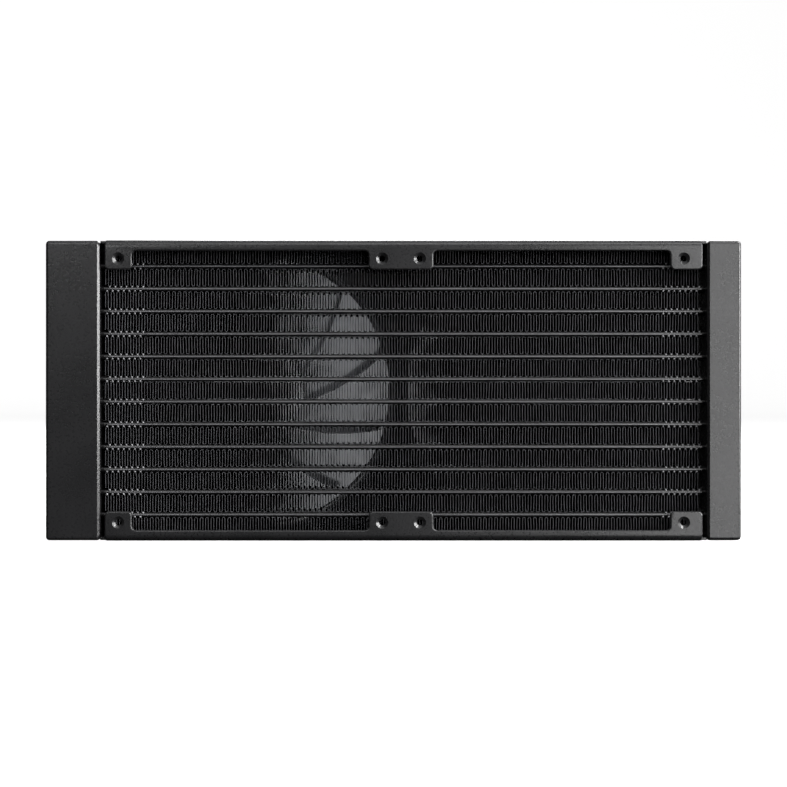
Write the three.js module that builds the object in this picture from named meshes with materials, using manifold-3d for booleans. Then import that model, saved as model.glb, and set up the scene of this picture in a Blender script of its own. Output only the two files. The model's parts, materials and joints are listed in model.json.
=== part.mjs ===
// A two-fan liquid cooling radiator: a brazed aluminium core of flat tubes and folded fins between two tanks,
// held by a rail along its top and bottom, with two 120 mm axial fans screwed to the back of the rails.
// Millimetres, +Z up. X runs along the core, -Y is the bare front face and +Y is the fan side.
// The origin is under the middle of the whole assembly, on the surface that it stands on.

import * as THREE from "three";
import { mergeVertices } from "three/addons/utils/BufferGeometryUtils.js";
import Module from "manifold-3d";

const wasm = await Module();
wasm.setup();

// ---- Driving dimensions -------------------------------------------------------------------------------

// Fans and the hole pattern that they set
const fanCount = 2;
const fanSize = 120;
const fanDepth = 25;
const fanHoleInset = 7.5; // from a fan's edges to the centres of its holes
const fanFlange = 4;
const fanCornerRadius = 5;
const ductWall = 1.4;
const ductSetIn = 0.8; // from a fan's edges to the outside of its duct
const outletLip = 2.4; // the duct narrows by this much at its outlet
const outletLipDepth = 2.6;
const motorBaseStepIn = 0.4; // the motor base is this much smaller than the impeller's hub
const motorBaseThickness = 1.8;
const strutCount = 4;
const strutWidth = 3.6;
const strutDepth = 4.4;
const strutLean = 24; // degrees round the axis between a strut's root and its tip
const cableNotchWidth = 9;
const cableNotchDepth = 1.6;

// Impeller
const bladeCount = 11;
const bladeThickness = 1.5;
const bladeEdgeShare = 0.35; // thickness at a blade's edges, as a share of its middle
const bladeCamber = 0.09; // bulge of a blade's section, as a share of its depth
const bladeFront = 3;
const bladeSetForward = 1.7; // from the hub's open rim to the blades' rear edges
const bladeSweep = 34; // degrees that a blade's tip leads its root
const bladeSweepPower = 0.6; // under 1, a blade bends most near its root
const bladeCover = 1.08; // share of the space between two blades that one blade covers, seen along the axis
const bladePhases = [-2.6, 11.5]; // degrees that each impeller stands round at rest
const hubRadius = 21;
const hubWall = 1.6;
const hubFace = 2;
const hubFront = 2;
const hubEdgeRadius = 2;

// Motor
const magnetThickness = 1.9;
const magnetSetIn = 3; // from the hub's open rim to the magnet ring
const shaftRadius = 1.5;
const bearingWall = 1.8;
const bearingTubeWall = 1.3;
const statorTeeth = 4;
const statorSetIn = 2; // from each end of the magnet ring to the stator
const statorRing = 2.2;
const statorNeck = 4.4;
const statorRim = 2;
const statorTipShare = 0.8; // share of the circle that the teeth's rims cover
const boardSetIn = 5.1; // from the motor base's edge to the board's edge
const boardThickness = 1.2;

// Radiator
const radiatorDepth = 27;
const portTankLength = 21.5;
const returnTankLength = 13.5;
const coreSpareLength = 2; // core length past the fans
const tankWall = 1.5;
const tankCornerRadius = 1.8;
const tankEdgeRound = 1;
const tankStepDown = 0.3; // how far a tank stands back from the rails, top and bottom
const headerThickness = 1.5;
const headerRecess = 0.4; // from a tank's open rim to the outer face of its header plate
const tubeCount = 12;
const tubeThickness = 1.8;
const tubeWall = 0.35;
const tubeSetBack = 5; // from the radiator's front and back to the tubes' noses
const tubePastHeader = 2;
const finPitch = 20; // a coarse stand-in for the real 1.1 mm, with the real share of metal
const finThickness = 1.8;
const finSetBack = 0.3; // fins stand this far inside the tubes' rounded noses
const finEndClearance = 1.3;
const dividerThickness = 1.5;

// Rails
const railWeb = 2;
const railSheet = 1.5;
const railFlange = 4.4;
const railTabRise = 4.4; // from a hole's centre to the free edge of its tab
const railTabReach = 5.4; // from a hole's centre to the side of its tab
const railTabRadius = 1.6;
const railEndGap = 2;
const railTongueSetBack = 1.5; // from the radiator's front and back to the tongues at a rail's ends
const railTongueThickness = 1.2;

// Screws, M3 pan heads
const screwShankRadius = 1.42;
const screwHeadRadius = 2.8;
const screwHeadHeight = 2.2;
const screwPastRail = 1.4;
const screwCrownRadius = 2;
const screwCrownHeight = 0.9;
const screwPointLength = 0.5;
const screwDriveRadius = 1.1;
const screwDriveWidth = 0.6;
const screwDriveDepth = 1.2;

// Ports and hose fittings, on the fan side of the port tank
const portInset = 30; // from the radiator's ends of height to the ports' axes
const portBossWall = 2.8;
const portBossHeight = 2.4;
const fittingBore = 3.3;
const fittingThreadWall = 1.6;
const fittingThreadLength = 6.5;
const fittingNutWall = 2.7; // from the thread to the nut's corners
const fittingNutHeight = 4;
const barbWall = 0.8;
const barbRidgeRise = 0.8;
const barbRidgeStep = 0.3;
const barbRidgeCount = 3;
const barbLength = 13;
const sealSection = 0.85;

// Clearances
const brazeGap = 0.1; // between brazed pieces: rows, tubes, plates
const slotClearance = 0.15; // a tube in its header slot
const tipClearance = 1.5; // blades in the duct
const runningGap = 0.3; // between parts of the motor
const bearingClearance = 0.1;
const magneticGap = 0.6;
const fanSeatGap = 0.1;
const headSeatGap = 0.1;
const threadClearance = 0.18; // a screw in a rail's threaded hole
const screwClearance = 0.73; // a screw in a fan's hole
const portClearance = 0.3; // a fitting in its port
const sealGap = 0.3; // on each side of a fitting's ring

// Facets on round parts
const ductFacets = 40;
const hubFacets = 28;
const roundFacets = 16;
const holeFacets = 10;
const sealFacets = 6;
const bladeSpanSteps = 3;
const bladeChordSteps = 3;

// ---- Derived places -----------------------------------------------------------------------------------

const radiatorHeight = fanSize;
const coreLength = fanCount * fanSize + coreSpareLength;
const overallLength = portTankLength + coreLength + returnTankLength;
const leftEnd = -overallLength / 2;
const portTankInner = leftEnd + portTankLength;
const returnTankInner = portTankInner + coreLength;
const overallDepth = radiatorDepth + fanSeatGap + fanDepth + headSeatGap + screwHeadHeight;
const radiatorFront = -overallDepth / 2;
const radiatorBack = radiatorFront + radiatorDepth;
const radiatorMiddle = (radiatorFront + radiatorBack) / 2;
const middleHeight = radiatorHeight / 2;
const tankHeight = radiatorHeight - 2 * tankStepDown;

const coreDepth = radiatorDepth - 2 * tubeSetBack;
const rowCount = tubeCount + 1;
const heightForRows = radiatorHeight - 2 * railWeb - tubeCount * tubeThickness - 2 * rowCount * brazeGap;
const rowHeight = heightForRows / rowCount;
const rowPitch = rowHeight + tubeThickness + 2 * brazeGap;
const firstRowBottom = railWeb + brazeGap;
const tubeEnd = headerRecess + headerThickness + tubePastHeader; // how far a tube reaches past the core

// Each hole's place along the core and in height, and the height of the tabs that hold them
const holePlaces = [];
for (let fan = 0; fan < fanCount; fan++) {
  const fanLeft = portTankInner + fan * fanSize;
  holePlaces.push(fanLeft + fanHoleInset, fanLeft + fanSize - fanHoleInset);
}
const holeHeights = [fanHoleInset, radiatorHeight - fanHoleInset];
const railTabHeight = fanHoleInset + railTabRise;
const tappedHoleRadius = screwShankRadius + threadClearance;
const fanHoleRadius = screwShankRadius + screwClearance;

// A fan's own places are measured from its front face.
const fanFront = radiatorBack + fanSeatGap;
const fanBack = fanFront + fanDepth;
const ductRadius = fanSize / 2 - ductSetIn - ductWall;
const motorBaseRadius = hubRadius - motorBaseStepIn;
const motorBaseFront = fanDepth - motorBaseThickness;
const hubBack = fanDepth - strutDepth - runningGap;
const bladeBack = hubBack - bladeSetForward;
const hubInnerRadius = hubRadius - hubWall;
const magnetFront = hubFront + hubFace + runningGap;
const magnetBack = hubBack - magnetSetIn;
const magnetOuterRadius = hubInnerRadius - runningGap;
const magnetInnerRadius = magnetOuterRadius - magnetThickness;
const statorTipRadius = magnetInnerRadius - magneticGap;
const bearingBoreRadius = shaftRadius + bearingClearance;
const bearingRadius = bearingBoreRadius + bearingWall;
const bearingTubeRadius = bearingRadius + runningGap + bearingTubeWall;
const bearingFront = magnetFront + bearingTubeWall;
const motorBack = motorBaseFront - runningGap;

// Ports
const portX = leftEnd + portTankLength / 2;
const ports = [
  { name: "outlet", height: portInset },
  { name: "inlet", height: radiatorHeight - portInset },
];
const fittingThreadRadius = fittingBore + fittingThreadWall;
const fittingNutRadius = fittingThreadRadius + fittingNutWall;
const portHoleRadius = fittingThreadRadius + portClearance;
const portBossRadius = portHoleRadius + portBossWall;
const barbRadius = fittingBore + barbWall;

// ---- Solids -------------------------------------------------------------------------------------------

const group = new THREE.Group();

// Adds a named mesh. Its finish is a colour, a roughness and a metalness.
function addMesh(name, geometry, finish, parent = group) {
  const material = new THREE.MeshStandardMaterial(finish);
  const mesh = new THREE.Mesh(geometry, material);
  mesh.name = name;
  parent.add(mesh);
  return mesh;
}

const blackPaint = { color: 0x1c1c1d, roughness: 0.5, metalness: 0.3 };
const finPaint = { color: 0x2a2a2b, roughness: 0.45, metalness: 0.4 };
const tubePaint = { color: 0x333334, roughness: 0.4, metalness: 0.4 };
const framePlastic = { color: 0x161617, roughness: 0.65, metalness: 0 };
const bladePlastic = { color: 0x2b2b2d, roughness: 0.5, metalness: 0 };
const screwSteel = { color: 0x1b1b1c, roughness: 0.4, metalness: 0.8 };
const shaftSteel = { color: 0xb5b7ba, roughness: 0.25, metalness: 1 };
const magnetRubber = { color: 0x2c2723, roughness: 0.7, metalness: 0.2 };
const coilLaminate = { color: 0x8a5a33, roughness: 0.5, metalness: 0.6 };
const boardResin = { color: 0x1e4a2b, roughness: 0.5, metalness: 0 };
const bearingBrass = { color: 0xa98748, roughness: 0.4, metalness: 0.9 };
const fittingMetal = { color: 0x232324, roughness: 0.35, metalness: 0.7 };
const sealRubber = { color: 0x111111, roughness: 0.85, metalness: 0 };

// A geometry as a manifold solid, and back.
function toSolid(geometry) {
  const bare = geometry.clone();
  bare.deleteAttribute("normal");
  bare.deleteAttribute("uv");
  const merged = mergeVertices(bare, 1e-4);
  return new wasm.Manifold(
    new wasm.Mesh({
      numProp: 3,
      vertProperties: new Float32Array(merged.attributes.position.array),
      triVerts: new Uint32Array(merged.index.array),
    }),
  );
}

function toGeometry(solid) {
  const mesh = solid.getMesh();
  const geometry = new THREE.BufferGeometry();
  geometry.setAttribute("position", new THREE.BufferAttribute(mesh.vertProperties, 3));
  geometry.setIndex(new THREE.BufferAttribute(mesh.triVerts, 1));
  geometry.computeVertexNormals();
  return geometry;
}

// A box between two corners.
function boxBetween(low, high) {
  const size = high.map((value, i) => value - low[i]);
  const middle = high.map((value, i) => (value + low[i]) / 2);
  return new THREE.BoxGeometry(...size).translate(...middle);
}

// A closed outline of points, as a shape.
function outline(points) {
  return new THREE.Shape(points.map(([u, v]) => new THREE.Vector2(u, v)));
}

// A rectangle centred on a point.
function rectangle(width, height, centreU, centreV) {
  const [left, right] = [centreU - width / 2, centreU + width / 2];
  const [low, high] = [centreV - height / 2, centreV + height / 2];
  return outline([
    [left, low],
    [right, low],
    [right, high],
    [left, high],
  ]);
}

// A rectangle with rounded corners, centred on a point.
function roundedRectangle(width, height, radius, centreU = 0, centreV = 0) {
  const shape = new THREE.Shape();
  const u = width / 2 - radius;
  const v = height / 2 - radius;
  shape.absarc(centreU + u, centreV + v, radius, 0, Math.PI / 2);
  shape.absarc(centreU - u, centreV + v, radius, Math.PI / 2, Math.PI);
  shape.absarc(centreU - u, centreV - v, radius, Math.PI, 1.5 * Math.PI);
  shape.absarc(centreU + u, centreV - v, radius, 1.5 * Math.PI, 2 * Math.PI);
  return shape;
}

// A flat slot with round ends, centred on a point.
function roundedSlot(width, thickness, centreU, centreV) {
  return roundedRectangle(width, thickness, thickness / 2, centreU, centreV);
}

// A round hole for a shape: its flats, not its corners, stand at the radius.
function circle(radius, u = 0, v = 0, facets = holeFacets) {
  const cornerRadius = radius / Math.cos(Math.PI / facets);
  const points = Array.from({ length: facets }, (_, i) => {
    const angle = (2 * Math.PI * i) / facets;
    return new THREE.Vector2(u + cornerRadius * Math.cos(angle), v + cornerRadius * Math.sin(angle));
  });
  return new THREE.Path(points);
}

// Extrudes an XZ shape along +Y, from one Y to another. The shape's second axis becomes Z.
function extrudeAlongY(shape, fromY, toY, curveSegments = 2) {
  const solid = new THREE.ExtrudeGeometry(shape, { depth: toY - fromY, bevelEnabled: false, curveSegments });
  return solid.rotateX(Math.PI / 2).translate(0, toY, 0);
}

// Extrudes a YZ shape along +X, from one X to another. The shape's first axis becomes Y.
function extrudeAlongX(shape, fromX, toX, curveSegments = 1) {
  const solid = new THREE.ExtrudeGeometry(shape, { depth: toX - fromX, bevelEnabled: false, curveSegments });
  return solid.rotateX(Math.PI / 2).rotateZ(Math.PI / 2).translate(fromX, 0, 0);
}

// Turns a profile of [radius, y] points about a Y axis. The profile runs so that its left side is the inside.
function turnAboutY(profile, facets = roundFacets) {
  return new THREE.LatheGeometry(
    profile.map(([radius, y]) => new THREE.Vector2(radius, y)),
    facets,
  );
}

// A ring or a disc about the Y axis between two Y values.
function ringAboutY(outer, inner, fromY, toY, facets = roundFacets) {
  const profile =
    inner > 0
      ? [
          [outer, fromY],
          [outer, toY],
          [inner, toY],
          [inner, fromY],
          [outer, fromY],
        ]
      : [
          [0, fromY],
          [outer, fromY],
          [outer, toY],
          [0, toY],
        ];
  return turnAboutY(profile, facets);
}

// ---- Tanks and header plates --------------------------------------------------------------------------

// A tank is a drawn box, open towards the core. side is -1 at the left end of the core and 1 at the right.
function tankSolid(side, length, innerX) {
  const bevel = tankEdgeRound;
  const outer = roundedRectangle(radiatorDepth, tankHeight, tankCornerRadius, radiatorMiddle, middleHeight);
  const body = new THREE.ExtrudeGeometry(outer, {
    depth: length - 2 * bevel,
    bevelThickness: bevel,
    bevelSize: bevel,
    bevelOffset: -bevel,
    bevelSegments: 2,
    curveSegments: 1,
  });
  body.rotateX(Math.PI / 2).rotateZ(Math.PI / 2);
  const nearX = side < 0 ? innerX - length : innerX;
  body.translate(nearX + bevel, 0, 0);
  const outerWallX = side < 0 ? nearX + tankWall : nearX + length - tankWall;
  const openX = innerX - side * tankWall;
  const cavity = boxBetween(
    [Math.min(outerWallX, openX), radiatorFront + tankWall, tankStepDown + tankWall],
    [Math.max(outerWallX, openX), radiatorBack - tankWall, radiatorHeight - tankStepDown - tankWall],
  );
  return toSolid(body).subtract(toSolid(cavity));
}

function addPortTank() {
  let tank = tankSolid(-1, portTankLength, portTankInner);
  for (const { height } of ports) {
    const rim = radiatorBack + portBossHeight;
    const boss = ringAboutY(portBossRadius, 0, radiatorBack - tankWall / 2, rim);
    const hole = ringAboutY(portHoleRadius, 0, radiatorBack - 2 * tankWall, rim + portBossHeight);
    const port = [boss, hole].map((piece) => toSolid(piece.translate(portX, 0, height)));
    tank = tank.add(port[0]).subtract(port[1]);
  }
  addMesh("port_tank", toGeometry(tank), blackPaint);
}

function addReturnTank() {
  addMesh("return_tank", toGeometry(tankSolid(1, returnTankLength, returnTankInner)), blackPaint);
}

// The middle height of each tube, from the bottom.
function tubeHeights() {
  const first = firstRowBottom + rowPitch - brazeGap - tubeThickness / 2;
  return Array.from({ length: tubeCount }, (_, i) => first + i * rowPitch);
}

// A header plate closes a tank, and has a slot for each tube.
function addHeaderPlate(name, side, innerX) {
  const height = tankHeight - 2 * tankWall - 2 * brazeGap;
  const depth = radiatorDepth - 2 * tankWall - 2 * brazeGap;
  const plate = rectangle(depth, height, radiatorMiddle, middleHeight);
  const slotDepth = coreDepth + 2 * slotClearance;
  const slotHeight = tubeThickness + 2 * slotClearance;
  for (const z of tubeHeights()) {
    plate.holes.push(roundedSlot(slotDepth, slotHeight, radiatorMiddle, z));
  }
  const coreFace = innerX + side * headerRecess;
  const backFace = coreFace + side * headerThickness;
  const geometry = extrudeAlongX(plate, Math.min(coreFace, backFace), Math.max(coreFace, backFace));
  addMesh(name, geometry, blackPaint);
}

// The wall across the middle of the port tank, which sends the coolant through one half of the tubes and back
// through the other.
function addTankDivider() {
  const low = [
    leftEnd + tankWall + brazeGap,
    radiatorFront + tankWall + brazeGap,
    middleHeight - dividerThickness / 2,
  ];
  const high = [
    portTankInner - headerRecess - headerThickness - brazeGap,
    radiatorBack - tankWall - brazeGap,
    middleHeight + dividerThickness / 2,
  ];
  addMesh("tank_divider", boxBetween(low, high), blackPaint);
}

// ---- Core ---------------------------------------------------------------------------------------------

function addFlatTubes() {
  const channelDepth = coreDepth - 2 * tubeWall;
  const channelHeight = tubeThickness - 2 * tubeWall;
  tubeHeights().forEach((z, i) => {
    const section = roundedSlot(coreDepth, tubeThickness, radiatorMiddle, z);
    section.holes.push(roundedSlot(channelDepth, channelHeight, radiatorMiddle, z));
    const geometry = extrudeAlongX(section, portTankInner - tubeEnd, returnTankInner + tubeEnd);
    addMesh(`flat_tube_${String(i + 1).padStart(2, "0")}`, geometry, tubePaint);
  });
}

// One row of fins: a strip folded up and down between two tubes, all along the core.
function addFinRows() {
  const fromX = portTankInner + finEndClearance;
  const toX = returnTankInner - finEndClearance;
  const halfThickness = finThickness / 2;
  const foldCount = 2 * Math.floor((toX - fromX) / finPitch / 2);
  const pitch = (toX - fromX - finThickness) / foldCount;
  for (let row = 0; row < rowCount; row++) {
    const bottom = firstRowBottom + row * rowPitch;
    const top = bottom + rowHeight;
    const upper = [];
    const lower = [];
    for (let fold = 0; fold <= foldCount; fold++) {
      const x = fromX + halfThickness + fold * pitch;
      const rising = fold % 2 === 0;
      const lastFold = fold === foldCount;
      const before = x - halfThickness;
      const after = x + halfThickness;
      // The strip comes up this fold and goes over its top, or comes down it and goes under its foot.
      if (rising) {
        upper.push([before, fold === 0 ? bottom : bottom + finThickness], [before, top]);
        lower.push([after, bottom], [after, lastFold ? top : top - finThickness]);
      } else {
        upper.push([after, top], [after, lastFold ? bottom : bottom + finThickness]);
        lower.push([before, top - finThickness], [before, bottom]);
      }
    }
    const strip = outline([...lower, ...upper.reverse()]);
    const geometry = extrudeAlongY(
      strip,
      radiatorMiddle - coreDepth / 2 + finSetBack,
      radiatorMiddle + coreDepth / 2 - finSetBack,
    );
    addMesh(`fin_row_${String(row + 1).padStart(2, "0")}`, geometry, finPaint);
  }
}

// ---- Rails --------------------------------------------------------------------------------------------

// The face of one rail flange, with its tabs, drawn with the rail's outer edge at 0 and the tabs towards +.
function flangeShape(fromX, toX) {
  const tabs = [[fromX, holePlaces[0] + railTabReach]];
  for (let i = 1; i < holePlaces.length - 1; i += 2) {
    tabs.push([holePlaces[i] - railTabReach, holePlaces[i + 1] + railTabReach]);
  }
  tabs.push([holePlaces.at(-1) - railTabReach, toX]);
  const shape = new THREE.Shape();
  const r = railTabRadius;
  shape.moveTo(fromX, 0);
  shape.lineTo(fromX, railTabHeight - r);
  tabs.forEach(([left, right], i) => {
    const isFirst = i === 0;
    const isLast = i === tabs.length - 1;
    if (!isFirst) {
      shape.absarc(left - r, railFlange + r, r, -Math.PI / 2, 0, false);
    }
    shape.absarc(left + r, railTabHeight - r, r, Math.PI, Math.PI / 2, true);
    shape.absarc(right - r, railTabHeight - r, r, Math.PI / 2, 0, true);
    if (!isLast) {
      shape.absarc(right + r, railFlange + r, r, Math.PI, 1.5 * Math.PI, false);
    }
  });
  shape.lineTo(toX, 0);
  return shape;
}

// Both rails are one pressing, used either way up. up is 1 for the bottom rail and -1 for the top rail.
function addRail(name, up) {
  const outerZ = up > 0 ? 0 : radiatorHeight;
  const fromX = portTankInner + railEndGap;
  const toX = returnTankInner - railEndGap;
  const flange = flangeShape(fromX, toX);
  for (const x of holePlaces) {
    flange.holes.push(circle(tappedHoleRadius, x, fanHoleInset));
  }
  const toZ = (height) => outerZ + up * height;
  const fromHeights = (low, high) => [Math.min(toZ(low), toZ(high)), Math.max(toZ(low), toZ(high))];
  const flangeSolid = (fromY, toY) => {
    const solid = toSolid(extrudeAlongY(flange, fromY, toY, 1));
    return up > 0 ? solid : solid.mirror([0, 0, 1]).translate([0, 0, radiatorHeight]);
  };
  const [webLow, webHigh] = fromHeights(0, railWeb);
  const [tongueLow, tongueHigh] = fromHeights(tankStepDown, tankStepDown + railTongueThickness);
  const web = boxBetween([fromX, radiatorFront, webLow], [toX, radiatorBack, webHigh]);
  const tongue = boxBetween(
    [portTankInner + brazeGap, radiatorFront + railTongueSetBack, tongueLow],
    [returnTankInner - brazeGap, radiatorBack - railTongueSetBack, tongueHigh],
  );
  const rail = toSolid(web)
    .add(toSolid(tongue))
    .add(flangeSolid(radiatorFront, radiatorFront + railSheet))
    .add(flangeSolid(radiatorBack - railSheet, radiatorBack));
  addMesh(name, toGeometry(rail), blackPaint);
}

// ---- Ports --------------------------------------------------------------------------------------------

// A fitting is a threaded spigot, a nut and a hose barb in one piece, on a sealing ring.
function addHoseFittings() {
  const seat = radiatorBack + portBossHeight + 2 * sealSection + 2 * sealGap;
  const inside = seat - fittingThreadLength;
  const nutMiddle = seat + fittingNutHeight / 2;
  const nutBack = seat + fittingNutHeight;
  const tip = nutBack + barbLength;
  const ridgePitch = barbLength / (barbRidgeCount + 1);
  const profile = [
    [fittingBore, inside],
    [fittingThreadRadius, inside],
    [fittingThreadRadius, nutMiddle],
    [barbRadius, nutMiddle],
  ];
  for (let ridge = 1; ridge <= barbRidgeCount; ridge++) {
    const y = nutBack + ridge * ridgePitch;
    profile.push([barbRadius, y - barbRidgeStep]);
    profile.push([barbRadius + barbRidgeRise, y]);
    profile.push([barbRadius, y + ridgePitch / 2]);
  }
  profile.push([barbRadius, tip], [fittingBore, tip], [fittingBore, inside]);
  for (const { name, height } of ports) {
    const nutShape = hexagon(fittingNutRadius, portX, height, (fittingBore + barbRadius) / 2);
    const nut = toSolid(extrudeAlongY(nutShape, seat, nutBack));
    const spigot = toSolid(turnAboutY(profile).translate(portX, 0, height));
    addMesh(`${name}_fitting`, toGeometry(spigot.add(nut)), fittingMetal);
    const ringY = radiatorBack + portBossHeight + sealGap + sealSection;
    const sealRadius = fittingThreadRadius + sealSection + sealGap;
    const seal = new THREE.TorusGeometry(sealRadius, sealSection, sealFacets, roundFacets);
    addMesh(`${name}_o_ring`, seal.rotateX(Math.PI / 2).translate(portX, ringY, height), sealRubber);
  }
}

// A hexagon with a round hole, centred on a point.
function hexagon(radius, u, v, holeRadius) {
  const corners = Array.from({ length: 6 }, (_, i) => {
    const angle = (i * Math.PI) / 3;
    return [u + radius * Math.cos(angle), v + radius * Math.sin(angle)];
  });
  const shape = outline(corners);
  shape.holes.push(circle(holeRadius, u, v, roundFacets));
  return shape;
}

// ---- Fans ---------------------------------------------------------------------------------------------

function addFanFrame(fan, parent) {
  const flange = roundedRectangle(fanSize, fanSize, fanCornerRadius);
  const holeReach = fanSize / 2 - fanHoleInset;
  for (const x of [-holeReach, holeReach]) {
    for (const z of [-holeReach, holeReach]) {
      flange.holes.push(circle(fanHoleRadius, x, z));
    }
  }
  const ductOuter = ductRadius + ductWall;
  const shell = toSolid(extrudeAlongY(flange, 0, fanFlange))
    .add(toSolid(extrudeAlongY(flange, fanDepth - fanFlange, fanDepth)))
    .add(toSolid(ringAboutY(ductOuter, 0, 0, fanDepth, ductFacets)))
    .subtract(toSolid(ringAboutY(ductRadius, 0, -runningGap, fanDepth - outletLipDepth, ductFacets)))
    .subtract(toSolid(ringAboutY(ductRadius - outletLip, 0, 0, fanDepth + runningGap, ductFacets)));

  const ductFill = toSolid(ringAboutY(ductRadius + ductWall / 2, 0, 0, fanDepth, ductFacets));
  let motorBase = toSolid(ringAboutY(motorBaseRadius, 0, motorBaseFront, fanDepth, roundFacets));
  for (let i = 0; i < strutCount; i++) {
    const strut = toSolid(strutGeometry((i + 0.5) * ((2 * Math.PI) / strutCount)));
    motorBase = motorBase.add(strut.intersect(ductFill));
  }
  const bearingTube = toSolid(ringAboutY(bearingTubeRadius, 0, bearingFront, fanDepth));
  const bearingBore = toSolid(ringAboutY(bearingRadius + runningGap, 0, magnetFront, motorBaseFront));
  motorBase = motorBase.add(bearingTube).subtract(bearingBore);

  const notchX = fanSize / 2 - fanCornerRadius - cableNotchWidth;
  const notch = boxBetween(
    [notchX - cableNotchWidth, fanDepth - fanFlange - runningGap, fanSize / 2 - cableNotchDepth],
    [notchX, fanDepth + runningGap, fanSize / 2 + cableNotchDepth],
  );
  const frame = shell.add(motorBase).subtract(toSolid(notch));
  addMesh(`fan_${fan}_frame`, toGeometry(frame), framePlastic, parent);
}

// A strut from the motor base to the duct wall, leaning along the circle.
function strutGeometry(angle) {
  const lean = THREE.MathUtils.degToRad(strutLean);
  const rootRadius = motorBaseRadius - strutWidth / 2;
  const tipRadius = ductRadius + ductWall;
  const root = new THREE.Vector2(rootRadius * Math.cos(angle), rootRadius * Math.sin(angle));
  const tip = new THREE.Vector2(tipRadius * Math.cos(angle + lean), tipRadius * Math.sin(angle + lean));
  const side = tip.clone().sub(root).normalize().rotateAround(new THREE.Vector2(), Math.PI / 2);
  const half = side.multiplyScalar(strutWidth / 2);
  const shape = new THREE.Shape([
    root.clone().sub(half),
    tip.clone().sub(half),
    tip.clone().add(half),
    root.clone().add(half),
  ]);
  return extrudeAlongY(shape, fanDepth - strutDepth, fanDepth);
}

// One blade, as a closed grid of points between its root and its tip. It turns with its front edge leading.
function bladeGeometry(index, phase) {
  const rootRadius = hubRadius - hubWall / 2;
  const tipRadius = ductRadius - tipClearance;
  const space = (2 * Math.PI) / bladeCount;
  const sweep = THREE.MathUtils.degToRad(bladeSweep);
  const vertices = [];
  for (let face = 0; face < 2; face++) {
    for (let i = 0; i <= bladeSpanSteps; i++) {
      const share = i / bladeSpanSteps;
      const radius = rootRadius + share * (tipRadius - rootRadius);
      const middle = phase + index * space + sweep * share ** bladeSweepPower;
      for (let j = 0; j <= bladeChordSteps; j++) {
        const along = j / bladeChordSteps;
        const angle = middle + space * bladeCover * (along - 0.5);
        const bulge = Math.sin(Math.PI * along);
        const depth = bladeBack - (bladeBack - bladeFront) * (along + bladeCamber * bulge);
        const thickness = bladeThickness * (bladeEdgeShare + (1 - bladeEdgeShare) * bulge);
        const y = depth + (face === 0 ? -thickness / 2 : thickness / 2);
        vertices.push(radius * Math.cos(angle), y, radius * Math.sin(angle));
      }
    }
  }
  return gridSkin(vertices, bladeSpanSteps, bladeChordSteps);
}

// Triangles for two matching grids of points and the band that joins their edges.
function gridSkin(vertices, spanSteps, chordSteps) {
  const row = chordSteps + 1;
  const layer = (spanSteps + 1) * row;
  const at = (face, i, j) => face * layer + i * row + j;
  const triangles = [];
  const quad = (a, b, c, d) => triangles.push(a, b, c, a, c, d);
  for (let i = 0; i < spanSteps; i++) {
    for (let j = 0; j < chordSteps; j++) {
      quad(at(0, i, j), at(0, i + 1, j), at(0, i + 1, j + 1), at(0, i, j + 1));
      quad(at(1, i, j), at(1, i, j + 1), at(1, i + 1, j + 1), at(1, i + 1, j));
    }
  }
  for (let i = 0; i < spanSteps; i++) {
    quad(at(0, i, 0), at(1, i, 0), at(1, i + 1, 0), at(0, i + 1, 0));
    quad(at(0, i, chordSteps), at(0, i + 1, chordSteps), at(1, i + 1, chordSteps), at(1, i, chordSteps));
  }
  for (let j = 0; j < chordSteps; j++) {
    quad(at(0, 0, j), at(0, 0, j + 1), at(1, 0, j + 1), at(1, 0, j));
    quad(at(0, spanSteps, j), at(1, spanSteps, j), at(1, spanSteps, j + 1), at(0, spanSteps, j + 1));
  }
  const geometry = new THREE.BufferGeometry();
  geometry.setAttribute("position", new THREE.Float32BufferAttribute(vertices, 3));
  geometry.setIndex(triangles);
  return geometry;
}

function addImpeller(fan, parent) {
  const edge = hubEdgeRadius * (1 - Math.SQRT1_2);
  const phase = THREE.MathUtils.degToRad(bladePhases[(fan - 1) % bladePhases.length]);
  const socketRadius = shaftRadius + runningGap;
  const cup = [
    [socketRadius, hubFront + hubFace],
    [socketRadius, hubFront + hubFace / 2],
    [0, hubFront + hubFace / 2],
  ];
  const skin = [
    [0, hubFront],
    [hubRadius - hubEdgeRadius, hubFront],
    [hubRadius - edge, hubFront + edge],
    [hubRadius, hubFront + hubEdgeRadius],
    [hubRadius, hubBack],
    [hubInnerRadius, hubBack],
    [hubInnerRadius, hubFront + hubFace],
  ];
  let impeller = toSolid(turnAboutY([...skin, ...cup], hubFacets));
  for (let i = 0; i < bladeCount; i++) {
    impeller = impeller.add(toSolid(bladeGeometry(i, phase)));
  }
  addMesh(`fan_${fan}_impeller`, toGeometry(impeller), bladePlastic, parent);
}

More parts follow.
